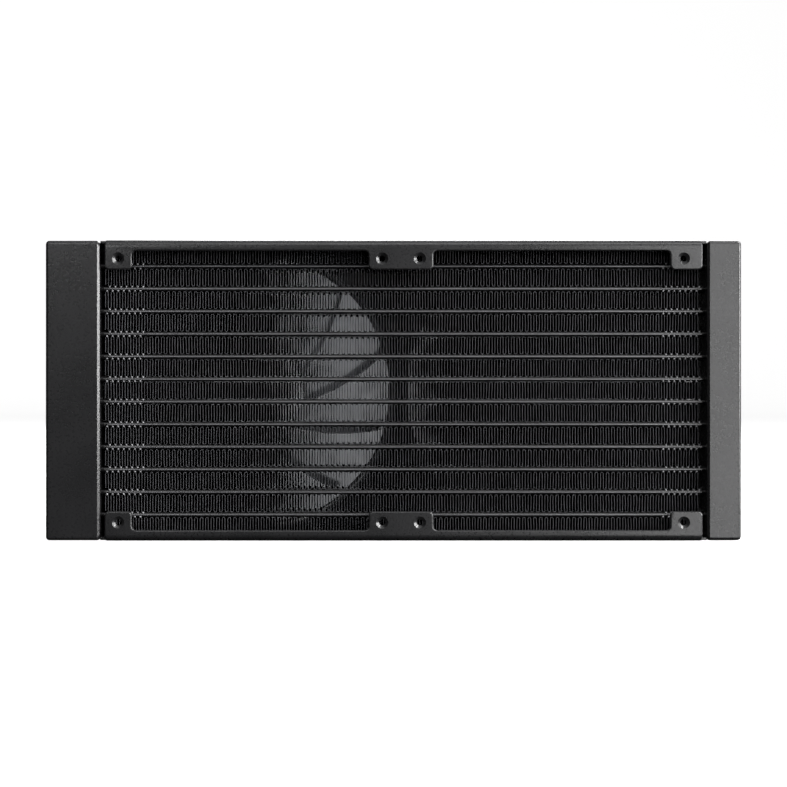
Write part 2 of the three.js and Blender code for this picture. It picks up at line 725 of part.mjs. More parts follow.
function addMotor(fan, parent) {
  const magnet = ringAboutY(magnetOuterRadius, magnetInnerRadius, magnetFront, magnetBack, hubFacets);
  addMesh(`fan_${fan}_magnet_ring`, magnet, magnetRubber, parent);

  const shaftFront = hubFront + hubFace / 2 + runningGap;
  const shaft = ringAboutY(shaftRadius, 0, shaftFront, motorBack, holeFacets);
  addMesh(`fan_${fan}_shaft`, shaft, shaftSteel, parent);

  const bearing = ringAboutY(bearingRadius, bearingBoreRadius, bearingFront, motorBack);
  addMesh(`fan_${fan}_bearing`, bearing, bearingBrass, parent);

  const statorBore = bearingTubeRadius + runningGap;
  const stator = extrudeAlongY(statorShape(statorBore), magnetFront + statorSetIn, magnetBack - statorSetIn);
  addMesh(`fan_${fan}_stator`, stator, coilLaminate, parent);

  const board = ringAboutY(motorBaseRadius - boardSetIn, statorBore, motorBack - boardThickness, motorBack);
  addMesh(`fan_${fan}_circuit_board`, board, boardResin, parent);
}

// The stator's section: a ring round the bearing tube with T-shaped teeth.
function statorShape(boreRadius) {
  const ringRadius = boreRadius + statorRing;
  const rimRadius = statorTipRadius - statorRim;
  const neckAtRing = Math.asin(statorNeck / 2 / ringRadius);
  const neckAtRim = Math.asin(statorNeck / 2 / rimRadius);
  const tipHalf = (statorTipShare * Math.PI) / statorTeeth;
  const points = [];
  const polar = (radius, angle) => points.push([radius * Math.cos(angle), radius * Math.sin(angle)]);
  for (let tooth = 0; tooth < statorTeeth; tooth++) {
    const middle = (tooth * 2 * Math.PI) / statorTeeth;
    polar(ringRadius, middle - neckAtRing);
    polar(rimRadius, middle - neckAtRim);
    polar(rimRadius, middle - tipHalf);
    for (const share of [-1, -0.5, 0, 0.5, 1]) {
      polar(statorTipRadius, middle + tipHalf * share);
    }
    polar(rimRadius, middle + tipHalf);
    polar(rimRadius, middle + neckAtRim);
    polar(ringRadius, middle + neckAtRing);
  }
  const shape = outline(points);
  shape.holes.push(circle(boreRadius, 0, 0, roundFacets));
  return shape;
}

function addFans() {
  for (let i = 0; i < fanCount; i++) {
    const fan = new THREE.Group();
    fan.position.set(portTankInner + (i + 0.5) * fanSize, fanFront, middleHeight);
    addFanFrame(i + 1, fan);
    addImpeller(i + 1, fan);
    addMotor(i + 1, fan);
    group.add(fan);
  }
}

// ---- Screws -------------------------------------------------------------------------------------------

// A pan-head screw through both flanges of a fan into the back flange of a rail.
function addFanScrews() {
  const tip = radiatorBack - railSheet - screwPastRail;
  const seat = fanBack + headSeatGap;
  const crown = seat + screwHeadHeight;
  const profile = [
    [0, tip],
    [screwShankRadius - screwPointLength, tip],
    [screwShankRadius, tip + screwPointLength],
    [screwShankRadius, seat],
    [screwHeadRadius, seat],
    [screwHeadRadius, crown - screwCrownHeight],
    [screwCrownRadius, crown],
    [0, crown],
  ];
  const arm = screwDriveRadius;
  const half = screwDriveWidth / 2;
  const socketFrom = crown - screwDriveDepth;
  const socketTo = crown + screwDriveDepth;
  const acrossX = toSolid(boxBetween([-arm, socketFrom, -half], [arm, socketTo, half]));
  const acrossZ = toSolid(boxBetween([-half, socketFrom, -arm], [half, socketTo, arm]));
  const blank = toSolid(turnAboutY(profile, holeFacets));
  const screw = toGeometry(blank.subtract(acrossX).subtract(acrossZ));
  let number = 1;
  for (const z of holeHeights) {
    for (const x of holePlaces) {
      addMesh(`fan_screw_${number}`, screw, screwSteel).position.set(x, 0, z);
      number += 1;
    }
  }
}

// ---- Assembly -----------------------------------------------------------------------------------------

addPortTank();
addReturnTank();
addHeaderPlate("port_header_plate", -1, portTankInner);
addHeaderPlate("return_header_plate", 1, returnTankInner);
addTankDivider();
addFlatTubes();
addFinRows();
addRail("bottom_rail", 1);
addRail("top_rail", -1);
addHoseFittings();
addFans();
addFanScrews();

export default group;
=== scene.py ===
import json
import math
import bmesh
import bpy
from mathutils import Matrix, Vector

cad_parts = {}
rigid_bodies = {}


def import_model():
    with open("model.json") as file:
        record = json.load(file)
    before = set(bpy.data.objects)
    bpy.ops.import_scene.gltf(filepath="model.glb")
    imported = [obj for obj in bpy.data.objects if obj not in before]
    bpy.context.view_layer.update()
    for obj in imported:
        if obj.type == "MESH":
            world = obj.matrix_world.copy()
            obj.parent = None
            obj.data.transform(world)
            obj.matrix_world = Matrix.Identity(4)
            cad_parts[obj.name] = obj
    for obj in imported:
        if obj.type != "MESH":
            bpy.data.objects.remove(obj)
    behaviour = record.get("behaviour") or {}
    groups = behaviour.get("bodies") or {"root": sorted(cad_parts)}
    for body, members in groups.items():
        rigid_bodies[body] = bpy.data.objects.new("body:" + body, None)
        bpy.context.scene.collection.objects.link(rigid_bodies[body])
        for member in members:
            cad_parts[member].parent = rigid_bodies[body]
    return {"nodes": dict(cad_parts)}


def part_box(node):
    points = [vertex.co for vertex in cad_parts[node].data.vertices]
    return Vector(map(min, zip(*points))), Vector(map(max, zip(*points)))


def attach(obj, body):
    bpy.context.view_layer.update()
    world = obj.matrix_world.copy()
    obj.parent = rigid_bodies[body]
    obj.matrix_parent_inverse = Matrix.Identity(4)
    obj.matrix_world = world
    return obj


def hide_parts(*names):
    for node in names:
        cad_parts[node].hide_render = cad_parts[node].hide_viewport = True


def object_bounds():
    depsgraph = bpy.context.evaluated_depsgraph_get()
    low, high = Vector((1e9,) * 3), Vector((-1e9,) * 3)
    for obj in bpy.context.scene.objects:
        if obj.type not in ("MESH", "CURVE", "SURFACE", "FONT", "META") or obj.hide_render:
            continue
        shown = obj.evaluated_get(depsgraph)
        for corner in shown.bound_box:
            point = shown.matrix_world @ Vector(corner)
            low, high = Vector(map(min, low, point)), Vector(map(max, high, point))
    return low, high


for leftover in list(bpy.data.objects):
    bpy.data.objects.remove(leftover)
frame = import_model()
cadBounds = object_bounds()
mm = 0.001
tiny = 1e-6  # how near two places count as the same, in metres

# ---- small helpers: picking, shaping and finishing, as by hand


def deselectAll():
    if bpy.context.object and bpy.context.object.mode != "OBJECT":
        bpy.ops.object.mode_set(mode="OBJECT")
    bpy.ops.object.select_all(action="DESELECT")


def choose(piece):
    deselectAll()
    piece.select_set(True)
    bpy.context.view_layer.objects.active = piece


def edit(piece, kind="FACE"):
    choose(piece)
    bpy.ops.object.mode_set(mode="EDIT")
    bpy.ops.mesh.select_mode(type=kind)
    bpy.ops.mesh.select_all(action="SELECT")


def leaveEdit():
    bpy.ops.object.mode_set(mode="OBJECT")


def middleOf(element):
    if isinstance(element, bmesh.types.BMVert):
        return element.co
    points = [vert.co for vert in element.verts]
    return sum(points, Vector()) / len(points)


def pick(piece, kind, wanted):
    # selects the vertices, edges or faces that the test wants, and says how many there were
    bpy.ops.mesh.select_mode(type={"verts": "VERT", "edges": "EDGE", "faces": "FACE"}[kind])
    bpy.ops.mesh.select_all(action="DESELECT")
    mesh = bmesh.from_edit_mesh(piece.data)
    chosen = [element for element in getattr(mesh, kind) if wanted(element)]
    for element in chosen:
        element.select = True
    mesh.select_flush_mode()
    bmesh.update_edit_mesh(piece.data)
    return len(chosen)


def extrude(x=0.0, y=0.0, z=0.0):
    bpy.ops.mesh.extrude_region_move(TRANSFORM_OT_translate={"value": (x, y, z)})


def addCube(name, low, high):
    deselectAll()
    low, high = Vector(low), Vector(high)
    bpy.ops.mesh.primitive_cube_add(size=1, location=(low + high) / 2, scale=high - low)
    return settle(bpy.context.object, name)


def addCylinder(name, radius, fromY, toY, x=0.0, z=0.0, sides=48, tipRadius=None):
    # a cylinder or cone about the Y axis; tipRadius is its radius at toY
    deselectAll()
    place = {"location": (x, (fromY + toY) / 2, z), "rotation": (-math.pi / 2, 0, 0), "depth": toY - fromY}
    if tipRadius is None:
        bpy.ops.mesh.primitive_cylinder_add(vertices=sides, radius=radius, **place)
    else:
        bpy.ops.mesh.primitive_cone_add(vertices=sides, radius1=radius, radius2=tipRadius, **place)
    return settle(bpy.context.object, name)


def settle(piece, name):
    piece.name = name
    piece.data.name = name
    choose(piece)
    bpy.ops.object.transform_apply(location=True, rotation=True, scale=True)
    return piece


def startAtPoint(name, point):
    # one vertex, from which a profile is drawn by extruding and spinning
    deselectAll()
    bpy.ops.mesh.primitive_plane_add(size=1 * mm, location=point)
    piece = settle(bpy.context.object, name)
    edit(piece, "VERT")
    bpy.ops.mesh.merge(type="CENTER")
    return piece


def modify(piece, kind, **settings):
    choose(piece)
    modifier = piece.modifiers.new(kind.title(), kind)
    for key, value in settings.items():
        setattr(modifier, key, value)
    bpy.ops.object.modifier_apply(modifier=modifier.name)


def combine(piece, other, operation):
    # union, difference or intersection with a helper, which is then thrown away
    modify(piece, "BOOLEAN", object=other, operation=operation, solver="EXACT")
    bpy.data.objects.remove(other)


def tidyMesh(piece, distance=0.004 * mm):
    edit(piece, "VERT")
    bpy.ops.mesh.remove_doubles(threshold=distance)
    bpy.ops.mesh.normals_make_consistent(inside=False)
    leaveEdit()


def softenEdges(piece, width, segments=2, angle=40, clamp=True):
    modify(
        piece, "BEVEL", width=width, segments=segments, limit_method="ANGLE", miter_outer="MITER_ARC",
        angle_limit=math.radians(angle), harden_normals=False, use_clamp_overlap=clamp,
    )


def smooth(piece, angle=35):
    # large flat faces keep their own shading, and the rounded edges blend into them
    choose(piece)
    bpy.ops.object.shade_smooth_by_angle(angle=math.radians(angle))
    modify(piece, "WEIGHTED_NORMAL", keep_sharp=True, weight=100)


def copyOf(piece, name, x=0.0, y=0.0, z=0.0):
    choose(piece)
    bpy.ops.object.duplicate(linked=False)
    twin = bpy.context.object
    bpy.ops.transform.translate(value=(x, y, z))
    return settle(twin, name)


def joinAll(pieces, name):
    deselectAll()
    for piece in pieces:
        piece.select_set(True)
    bpy.context.view_layer.objects.active = pieces[0]
    bpy.ops.object.join()
    return settle(bpy.context.object, name)


def finishPiece(piece, material, body, slot, *nodes):
    piece.data.materials.clear()
    piece.data.materials.append(material)
    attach(piece, body)
    if nodes:
        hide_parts(*nodes)
    return piece


# ---- materials

finLow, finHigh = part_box("fin_row_01")
tubeLow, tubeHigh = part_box("flat_tube_01")
finFrontY, tubeFrontY = finLow.y, tubeLow.y
coreMiddleX = (finLow.x + finHigh.x) / 2
coreReachX = finHigh.x - coreMiddleX


def toLinear(hexColour):
    # sRGB hex to the linear values that Blender's colour sockets take
    parts = [int(hexColour[i : i + 2], 16) / 255 for i in (1, 3, 5)]
    return [part / 12.92 if part <= 0.04045 else ((part + 0.055) / 1.055) ** 2.4 for part in parts] + [1.0]


def addNode(tree, kind, settings=None, links=None):
    # settings go to properties, unlinked sockets or a ramp's stops; links maps an input to (node, output)
    node = tree.nodes.new("ShaderNode" + kind)
    for key, value in (settings or {}).items():
        if key == "stops":
            for element, (position, colour) in zip(node.color_ramp.elements, value):
                element.position, element.color = position, toLinear(colour)
        elif isinstance(key, str) and hasattr(node, key) and key not in node.inputs:
            setattr(node, key, value)
        else:
            node.inputs[key].default_value = value
    for key, (source, output) in (links or {}).items():
        tree.links.new(source.outputs[output], node.inputs[key])
    return node


def newMaterial(name, viewColour):
    material = bpy.data.materials.new(name)
    material.use_nodes = True
    material.diffuse_color = toLinear(viewColour)
    tree = material.node_tree
    tree.nodes.clear()
    coordinates = addNode(tree, "TexCoord")
    output = addNode(tree, "OutputMaterial")
    return material, tree, (coordinates, "Object"), output


def surface(tree, out, colour, gloss=None, relief=None, **settings):
    # gloss is (node, output, lowest roughness, highest); relief is (node, output, strength, depth in mm)
    links = {"Base Color": colour}
    if gloss:
        source, output, low, high = gloss
        limits = {"To Min": low, "To Max": high}
        links["Roughness"] = (addNode(tree, "MapRange", limits, {"Value": (source, output)}), "Result")
    if relief:
        source, output, strength, depth = relief
        bumps = {"Strength": strength, "Distance": depth * mm}
        links["Normal"] = (addNode(tree, "Bump", bumps, {"Height": (source, output)}), "Normal")
    sockets = {name.replace("_", " "): value for name, value in settings.items()}
    shader = addNode(tree, "BsdfPrincipled", sockets, links)
    tree.links.new(shader.outputs["BSDF"], out.inputs["Surface"])


fadeOut = {"To Min": 1.0, "To Max": 0.0}  # 1 up to From Min, and nothing left from From Max on

# Black polyester powder coat on aluminium, sprayed and baked: satin, with the pebbled orange peel that the
# melted powder leaves, about a millimetre from bump to bump, and a finer grain inside it.
powderCoat, tree, place, out = newMaterial("powderCoat", "#202021")
peel = addNode(
    tree, "TexNoise", {"Scale": 1 / (1.1 * mm), "Detail": 3.0, "Roughness": 0.6}, {"Vector": place}
)
cloud = addNode(tree, "TexNoise", {"Scale": 1 / (22 * mm), "Detail": 2.0}, {"Vector": place})
shade = addNode(tree, "ValToRGB", {"stops": ((0.3, "#1c1c1d"), (0.7, "#232324"))}, {"Fac": (cloud, "Fac")})
surface(tree, out, (shade, "Color"), (peel, "Fac", 0.24, 0.32), (peel, "Fac", 0.7, 0.065), IOR=1.5)

# Dipped black enamel on the thin fins, with painted shade and highlight: the faces deeper in are painted near
# black for the shade inside the core, and the paler rim along the sheared front edge is thin greyed enamel and
# a painted highlight. The edge is found by its place in depth.
finEnamel, tree, place, out = newMaterial("finEnamel", "#2c2c2d")
inPlace = addNode(tree, "SeparateXYZ", None, {"Vector": place})
# rim mask: 1 at the front edge, fading to 0 deeper in, where the painted shade takes over
rim = addNode(
    tree, "MapRange", {"From Min": finFrontY + 0.1 * mm, "From Max": finFrontY + 1.3 * mm, **fadeOut},
    {"Value": (inPlace, "Y")},
)
drift = addNode(tree, "TexNoise", {"Scale": 1 / (3 * mm), "Detail": 3.0}, {"Vector": place})
grain = addNode(tree, "TexNoise", {"Scale": 1 / (0.25 * mm), "Detail": 2.0}, {"Vector": place})
# painted shade: near black for the fin faces deep in the core, where the light does not reach
dark = addNode(tree, "ValToRGB", {"stops": ((0.3, "#040405"), (0.72, "#080809"))}, {"Fac": (drift, "Fac")})
# painted highlight, with the thin enamel's grey: the pale rim and the lit first millimetre of the sides
wearAndPaintedHighlight = addNode(tree, "ValToRGB", {"stops": ((0.3, "#454547"), (0.72, "#565659"))}, {"Fac": (drift, "Fac")})
enamelPaintedShadeAndHighlight = addNode(
    tree, "Mix", {"data_type": "RGBA"},
    {0: (rim, "Result"), 6: (dark, "Color"), 7: (wearAndPaintedHighlight, "Color")},
)
# the beads of flux stand in front of the fins, painted paler still: the flux's grey and a painted glint
flux = addNode(
    tree, "MapRange", {"From Min": finFrontY - 0.12 * mm, "From Max": finFrontY - 0.03 * mm, **fadeOut},
    {"Value": (inPlace, "Y")},
)
# painted highlight: the beads' glint is painted into their pale grey
fluxGreyAndPaintedGlint = addNode(tree, "ValToRGB", {"stops": ((0.3, "#6e6e70"), (0.72, "#9a9a9c"))}, {"Fac": (drift, "Fac")})
shade = addNode(
    tree, "Mix", {"data_type": "RGBA"},
    {0: (flux, "Result"), 6: (enamelPaintedShadeAndHighlight, 2), 7: (fluxGreyAndPaintedGlint, "Color")},
)
surface(
    tree, out, (shade, 2), (grain, "Fac", 0.55, 0.75), (grain, "Fac", 0.3, 0.02),
    IOR=1.5, Specular_IOR_Level=0.0,
)

# The same enamel on the extruded tubes, with faint die lines along their length, and a painted highlight
# line along the nose, where the dip also drains thin.
tubeEnamel, tree, place, out = newMaterial("tubeEnamel", "#333334")
inPlace = addNode(tree, "SeparateXYZ", None, {"Vector": place})
# painted highlight: a thin pale line where the rounded nose faces forward
nose = addNode(
    tree, "MapRange", {"From Min": tubeFrontY + 0.008 * mm, "From Max": tubeFrontY + 0.035 * mm, **fadeOut},
    {"Value": (inPlace, "Y")},
)
# painted shade: the highlight line stops short of the tube ends, where the headers shade them
fromMiddle = addNode(tree, "Math", {"operation": "SUBTRACT", 1: coreMiddleX}, {0: (inPlace, "X")})
along = addNode(tree, "Math", {"operation": "ABSOLUTE"}, {0: (fromMiddle, "Value")})
reach = addNode(
    tree, "MapRange", {"From Min": coreReachX - 2.6 * mm, "From Max": coreReachX - 1.0 * mm, **fadeOut},
    {"Value": (along, "Value")},
)
paintedHighlightLine = addNode(tree, "Math", {"operation": "MULTIPLY"}, {0: (nose, "Result"), 1: (reach, "Result")})
stretch = addNode(tree, "Mapping", {"Scale": (0.02, 1.0, 1.0)}, {"Vector": place})
lines = addNode(tree, "TexNoise", {"Scale": 1 / (0.3 * mm), "Detail": 3.0}, {"Vector": (stretch, "Vector")})
dark = addNode(tree, "ValToRGB", {"stops": ((0.3, "#0f0f10"), (0.7, "#161617"))}, {"Fac": (lines, "Fac")})
# painted highlight colour of the nose line
wearAndPaintedHighlight = addNode(tree, "ValToRGB", {"stops": ((0.3, "#58585a"), (0.7, "#6a6a6d"))}, {"Fac": (lines, "Fac")})
shade = addNode(
    tree, "Mix", {"data_type": "RGBA"},
    {0: (paintedHighlightLine, "Value"), 6: (dark, "Color"), 7: (wearAndPaintedHighlight, "Color")},
)
surface(tree, out, (shade, 2), (lines, "Fac", 0.22, 0.34), (lines, "Fac", 0.25, 0.02), IOR=1.5)

# Glass-filled PBT: the frames' spark-eroded mould gives an even, fine, matt grain.
framePlastic, tree, place, out = newMaterial("framePlastic", "#171718")
grain = addNode(tree, "TexVoronoi", {"Scale": 1 / (0.35 * mm)}, {"Vector": place})
drift = addNode(tree, "TexNoise", {"Scale": 1 / (9 * mm), "Detail": 2.0}, {"Vector": place})
shade = addNode(tree, "ValToRGB", {"stops": ((0.3, "#0f0f10"), (0.7, "#151516"))}, {"Fac": (drift, "Fac")})
surface(
    tree, out, (shade, "Color"), (grain, "Distance", 0.5, 0.68), (grain, "Distance", 0.4, 0.02), IOR=1.52
)

# Grey PBT of the impellers: smoother than the frame, with faint flow marks from the gates.
bladePlastic, tree, place, out = newMaterial("bladePlastic", "#3a3b3d")
flow = addNode(
    tree, "TexNoise", {"Scale": 1 / (7 * mm), "Detail": 4.0, "Distortion": 1.2}, {"Vector": place}
)
grain = addNode(tree, "TexNoise", {"Scale": 1 / (0.3 * mm), "Detail": 2.0}, {"Vector": place})
shade = addNode(tree, "ValToRGB", {"stops": ((0.3, "#8b8d90"), (0.7, "#98999c"))}, {"Fac": (flow, "Fac")})
surface(tree, out, (shade, "Color"), (flow, "Fac", 0.4, 0.52), (grain, "Fac", 0.25, 0.015), IOR=1.52)

# Nitrile rubber, moulded: dead black and matt, with a slight bloom.
rubber, tree, place, out = newMaterial("nitrileRubber", "#131313")
bloom = addNode(tree, "TexNoise", {"Scale": 1 / (1.5 * mm), "Detail": 3.0}, {"Vector": place})
shade = addNode(tree, "ValToRGB", {"stops": ((0.3, "#121212"), (0.75, "#1b1b1c"))}, {"Fac": (bloom, "Fac")})
surface(tree, out, (shade, "Color"), (bloom, "Fac", 0.68, 0.85), (bloom, "Fac", 0.25, 0.02), IOR=1.52)

# Blank polyester label film: pale satin grey, with a barely seen unevenness from the glue under it.
labelFilm, tree, place, out = newMaterial("polyesterFilm", "#8d8f92")
glue = addNode(tree, "TexNoise", {"Scale": 1 / (4 * mm), "Detail": 2.0}, {"Vector": place})
shade = addNode(tree, "ValToRGB", {"stops": ((0.3, "#85878a"), (0.7, "#909295"))}, {"Fac": (glue, "Fac")})
surface(tree, out, (shade, "Color"), (glue, "Fac", 0.3, 0.4), (glue, "Fac", 0.2, 0.03), IOR=1.58)

# Black-oxide steel screws: dark, half glossy, with faint turning marks.
blackOxide, tree, place, out = newMaterial("blackOxideSteel", "#2a2a2c")
marks = addNode(tree, "TexNoise", {"Scale": 1 / (0.4 * mm), "Detail": 3.0}, {"Vector": place})
shade = addNode(tree, "ValToRGB", {"stops": ((0.3, "#3a3a3c"), (0.7, "#4b4a4b"))}, {"Fac": (marks, "Fac")})
surface(tree, out, (shade, "Color"), (marks, "Fac", 0.3, 0.45), (marks, "Fac", 0.2, 0.01), Metallic=0.85)

# Black anodised aluminium fittings, turned on a lathe: fine rings across the barb catch the light.
blackAnodised, tree, place, out = newMaterial("blackAnodisedAluminium", "#242426")
across = addNode(tree, "Mapping", {"Scale": (0.05, 1.0, 0.05)}, {"Vector": place})
turned = addNode(
    tree, "TexNoise", {"Scale": 1 / (0.12 * mm), "Detail": 2.0}, {"Vector": (across, "Vector")}
)
cloudy = addNode(tree, "TexNoise", {"Scale": 1 / (3 * mm), "Detail": 2.0}, {"Vector": place})
shade = addNode(tree, "ValToRGB", {"stops": ((0.3, "#2b2b2e"), (0.7, "#38383b"))}, {"Fac": (cloudy, "Fac")})
surface(tree, out, (shade, "Color"), (turned, "Fac", 0.28, 0.42), (turned, "Fac", 0.3, 0.01), Metallic=1.0)

# Ground steel shaft: bright, with hair-fine grinding rings.
groundSteel, tree, place, out = newMaterial("groundSteel", "#b7b9bc")
rings = addNode(tree, "Mapping", {"Scale": (0.05, 1.0, 0.05)}, {"Vector": place})
ground = addNode(tree, "TexNoise", {"Scale": 1 / (0.1 * mm), "Detail": 2.0}, {"Vector": (rings, "Vector")})
shade = addNode(tree, "ValToRGB", {"stops": ((0.3, "#b0b2b5"), (0.7, "#c4c6c8"))}, {"Fac": (ground, "Fac")})
surface(tree, out, (shade, "Color"), (ground, "Fac", 0.15, 0.3), Metallic=1.0)

# Sintered bronze bearing: oil-dark metal, open-pored.
sinteredBronze, tree, place, out = newMaterial("sinteredBronze", "#8e7140")
pores = addNode(tree, "TexVoronoi", {"Scale": 1 / (0.2 * mm)}, {"Vector": place})
shade = addNode(
    tree, "ValToRGB", {"stops": ((0.2, "#6d5633"), (0.7, "#9d7f4a"))}, {"Fac": (pores, "Distance")}
)
surface(
    tree, out, (shade, "Color"), (pores, "Distance", 0.55, 0.35), (pores, "Distance", 0.4, 0.02),
    Metallic=1.0,
)

# Rubber-bonded ferrite magnet ring: brown-black and matt, with a cut grain.
bondedFerrite, tree, place, out = newMaterial("bondedFerrite", "#2c2723")
specks = addNode(tree, "TexNoise", {"Scale": 1 / (0.3 * mm), "Detail": 4.0}, {"Vector": place})
shade = addNode(tree, "ValToRGB", {"stops": ((0.3, "#26211e"), (0.7, "#383230"))}, {"Fac": (specks, "Fac")})
surface(tree, out, (shade, "Color"), (specks, "Fac", 0.6, 0.8), (specks, "Fac", 0.3, 0.03), IOR=1.6)

# Stacked silicon-steel laminations of the stator, lacquered: thin bands across the stack.
laminations, tree, place, out = newMaterial("siliconSteel", "#6e5237")
stack = addNode(
    tree, "TexWave", {"bands_direction": "Y", "Scale": 0.314 / (1 * mm), "Distortion": 0.0},
    {"Vector": place},
)
stain = addNode(tree, "TexNoise", {"Scale": 1 / (2 * mm), "Detail": 3.0}, {"Vector": place})
shade = addNode(tree, "ValToRGB", {"stops": ((0.3, "#7c5f45"), (0.7, "#96755a"))}, {"Fac": (stain, "Fac")})
surface(tree, out, (shade, "Color"), (stain, "Fac", 0.35, 0.5), (stack, "Fac", 0.5, 0.06), Metallic=1.0)

# Green solder mask on glass-epoxy board: the glass weave shows faintly through it.
solderMask, tree, place, out = newMaterial("solderMask", "#1d4a2b")
weave = addNode(tree, "TexChecker", {"Scale": 1 / (0.5 * mm)}, {"Vector": place})
tint = addNode(tree, "TexNoise", {"Scale": 1 / (3 * mm), "Detail": 2.0}, {"Vector": place})
shade = addNode(tree, "ValToRGB", {"stops": ((0.3, "#1a4427"), (0.7, "#235231"))}, {"Fac": (tint, "Fac")})
surface(tree, out, (shade, "Color"), (weave, "Fac", 0.25, 0.35), IOR=1.55)

# Background paper, pale and matt, lit so evenly that it has almost no shade of its own.
paperFloor, tree, place, out = newMaterial("backgroundPaper", "#f7f7f7")
fibre = addNode(tree, "TexNoise", {"Scale": 1 / (2 * mm), "Detail": 3.0}, {"Vector": place})
shade = addNode(tree, "ValToRGB", {"stops": ((0.3, "#f4f4f4"), (0.7, "#fafafa"))}, {"Fac": (fibre, "Fac")})
surface(
    tree, out, (shade, "Color"), Roughness=0.9, Emission_Color=(1, 1, 1, 1), Emission_Strength=0.9
)

# ---- places taken from the frame

railLow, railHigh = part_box("bottom_rail")
returnLow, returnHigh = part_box("return_tank")
portLow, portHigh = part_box("port_tank")
frontY, backY = railLow.y, railHigh.y
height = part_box("top_rail")[1].z
fanNames = ["fan_1", "fan_2"]
fanBoxes = [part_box(f"{fan}_frame") for fan in fanNames]
screwBoxes = [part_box(f"fan_screw_{number}") for number in range(1, 9)]
screwCentres = [(low + high) / 2 for low, high in screwBoxes]
holeXs = sorted({round(centre.x, 5) for centre in screwCentres})
holeInset = min(centre.z for centre in screwCentres)

# ---- tanks

tankSizes = {
    "wall": 1.5, "edge": 1.4, "edgeSegments": 6, "rim": 0.85,
    "boss": 8.0, "bossEdge": 0.5, "portHole": 5.2,
}


def makeTank(name, low, high, openSide, node, fittings=()):
    s = tankSizes
    wall, rim = s["wall"] * mm, s["rim"] * mm
    tank = addCube(name, low, high)
    edit(tank)
    pick(tank, "faces", lambda face: face.normal.x * openSide > 0.9)
    bpy.ops.mesh.inset(thickness=wall)
    extrude(x=-openSide * (high.x - low.x - wall))
    rimX = high.x if openSide > 0 else low.x
    inY = lambda vert: min(vert.co.y - low.y, high.y - vert.co.y)
    inZ = lambda vert: min(vert.co.z - low.z, high.z - vert.co.z)
    nearRim = lambda vert: abs(vert.co.x - rimX) < rim + tiny
    isOutside = lambda vert: min(inY(vert), inZ(vert)) < tiny
    pick(tank, "edges", lambda edge: all(nearRim(vert) and isOutside(vert) for vert in edge.verts))
    bpy.ops.mesh.bevel(offset=rim, segments=1, profile=0.5)
    # then every edge that runs along or away from a corner of the box, the mitres of the chamfer too
    fromCorner = lambda vert: abs(inY(vert) - inZ(vert)) < tiny and inY(vert) < rim + tiny
    isLevel = lambda edge: abs(edge.verts[0].co.x - edge.verts[1].co.x) < tiny
    alongRim = lambda edge: all(nearRim(vert) for vert in edge.verts) and isLevel(edge)
    pick(tank, "edges", lambda edge: all(fromCorner(vert) for vert in edge.verts) and not alongRim(edge))
    bpy.ops.mesh.bevel(offset=s["edge"] * mm, segments=s["edgeSegments"], profile=0.5)
    leaveEdit()
    tidyMesh(tank)
    for fitting in fittings:
        # a turned boss welded on the back, and the port drilled through it
        x, _, z = sum(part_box(fitting), Vector()) / 2
        boss = addCylinder("boss", s["boss"] * mm, high.y - wall / 2, portHigh.y, x, z, 64)
        softenEdges(boss, s["bossEdge"] * mm, 3, 40)
        combine(tank, boss, "UNION")
        drill = addCylinder("drill", s["portHole"] * mm, high.y - 2 * wall, portHigh.y + 1 * mm, x, z, 48)
        combine(tank, drill, "DIFFERENCE")
    smooth(tank, 35)
    return finishPiece(tank, powderCoat, "radiator", "tank_paint", node)


makeTank("returnTank", returnLow, returnHigh, -1, "return_tank")
portCorner = Vector((portHigh.x, backY, portHigh.z))  # the bosses stand behind it
makeTank("portTank", portLow, portCorner, 1, "port_tank", ("outlet_fitting", "inlet_fitting"))
print("tanks done")

# ---- rails: a folded channel with tabs at its corners and over the joint between the fans

railSizes = {
    "flange": 4.4, "sheet": 1.5, "bendRadius": 2.8, "bendSteps": 7,
    "tabRise": 4.4, "tabReach": 5.4, "tabRadius": 1.7, "endGap": 2.0,
    "edge": 0.65, "dimpleRadius": 2.45, "dimpleDepth": 0.95, "holeRadius": 1.25,
    "tongueLow": 0.35, "tongueHigh": 1.45, "tongueIn": 1.5, "tongueEdge": 0.2,
}


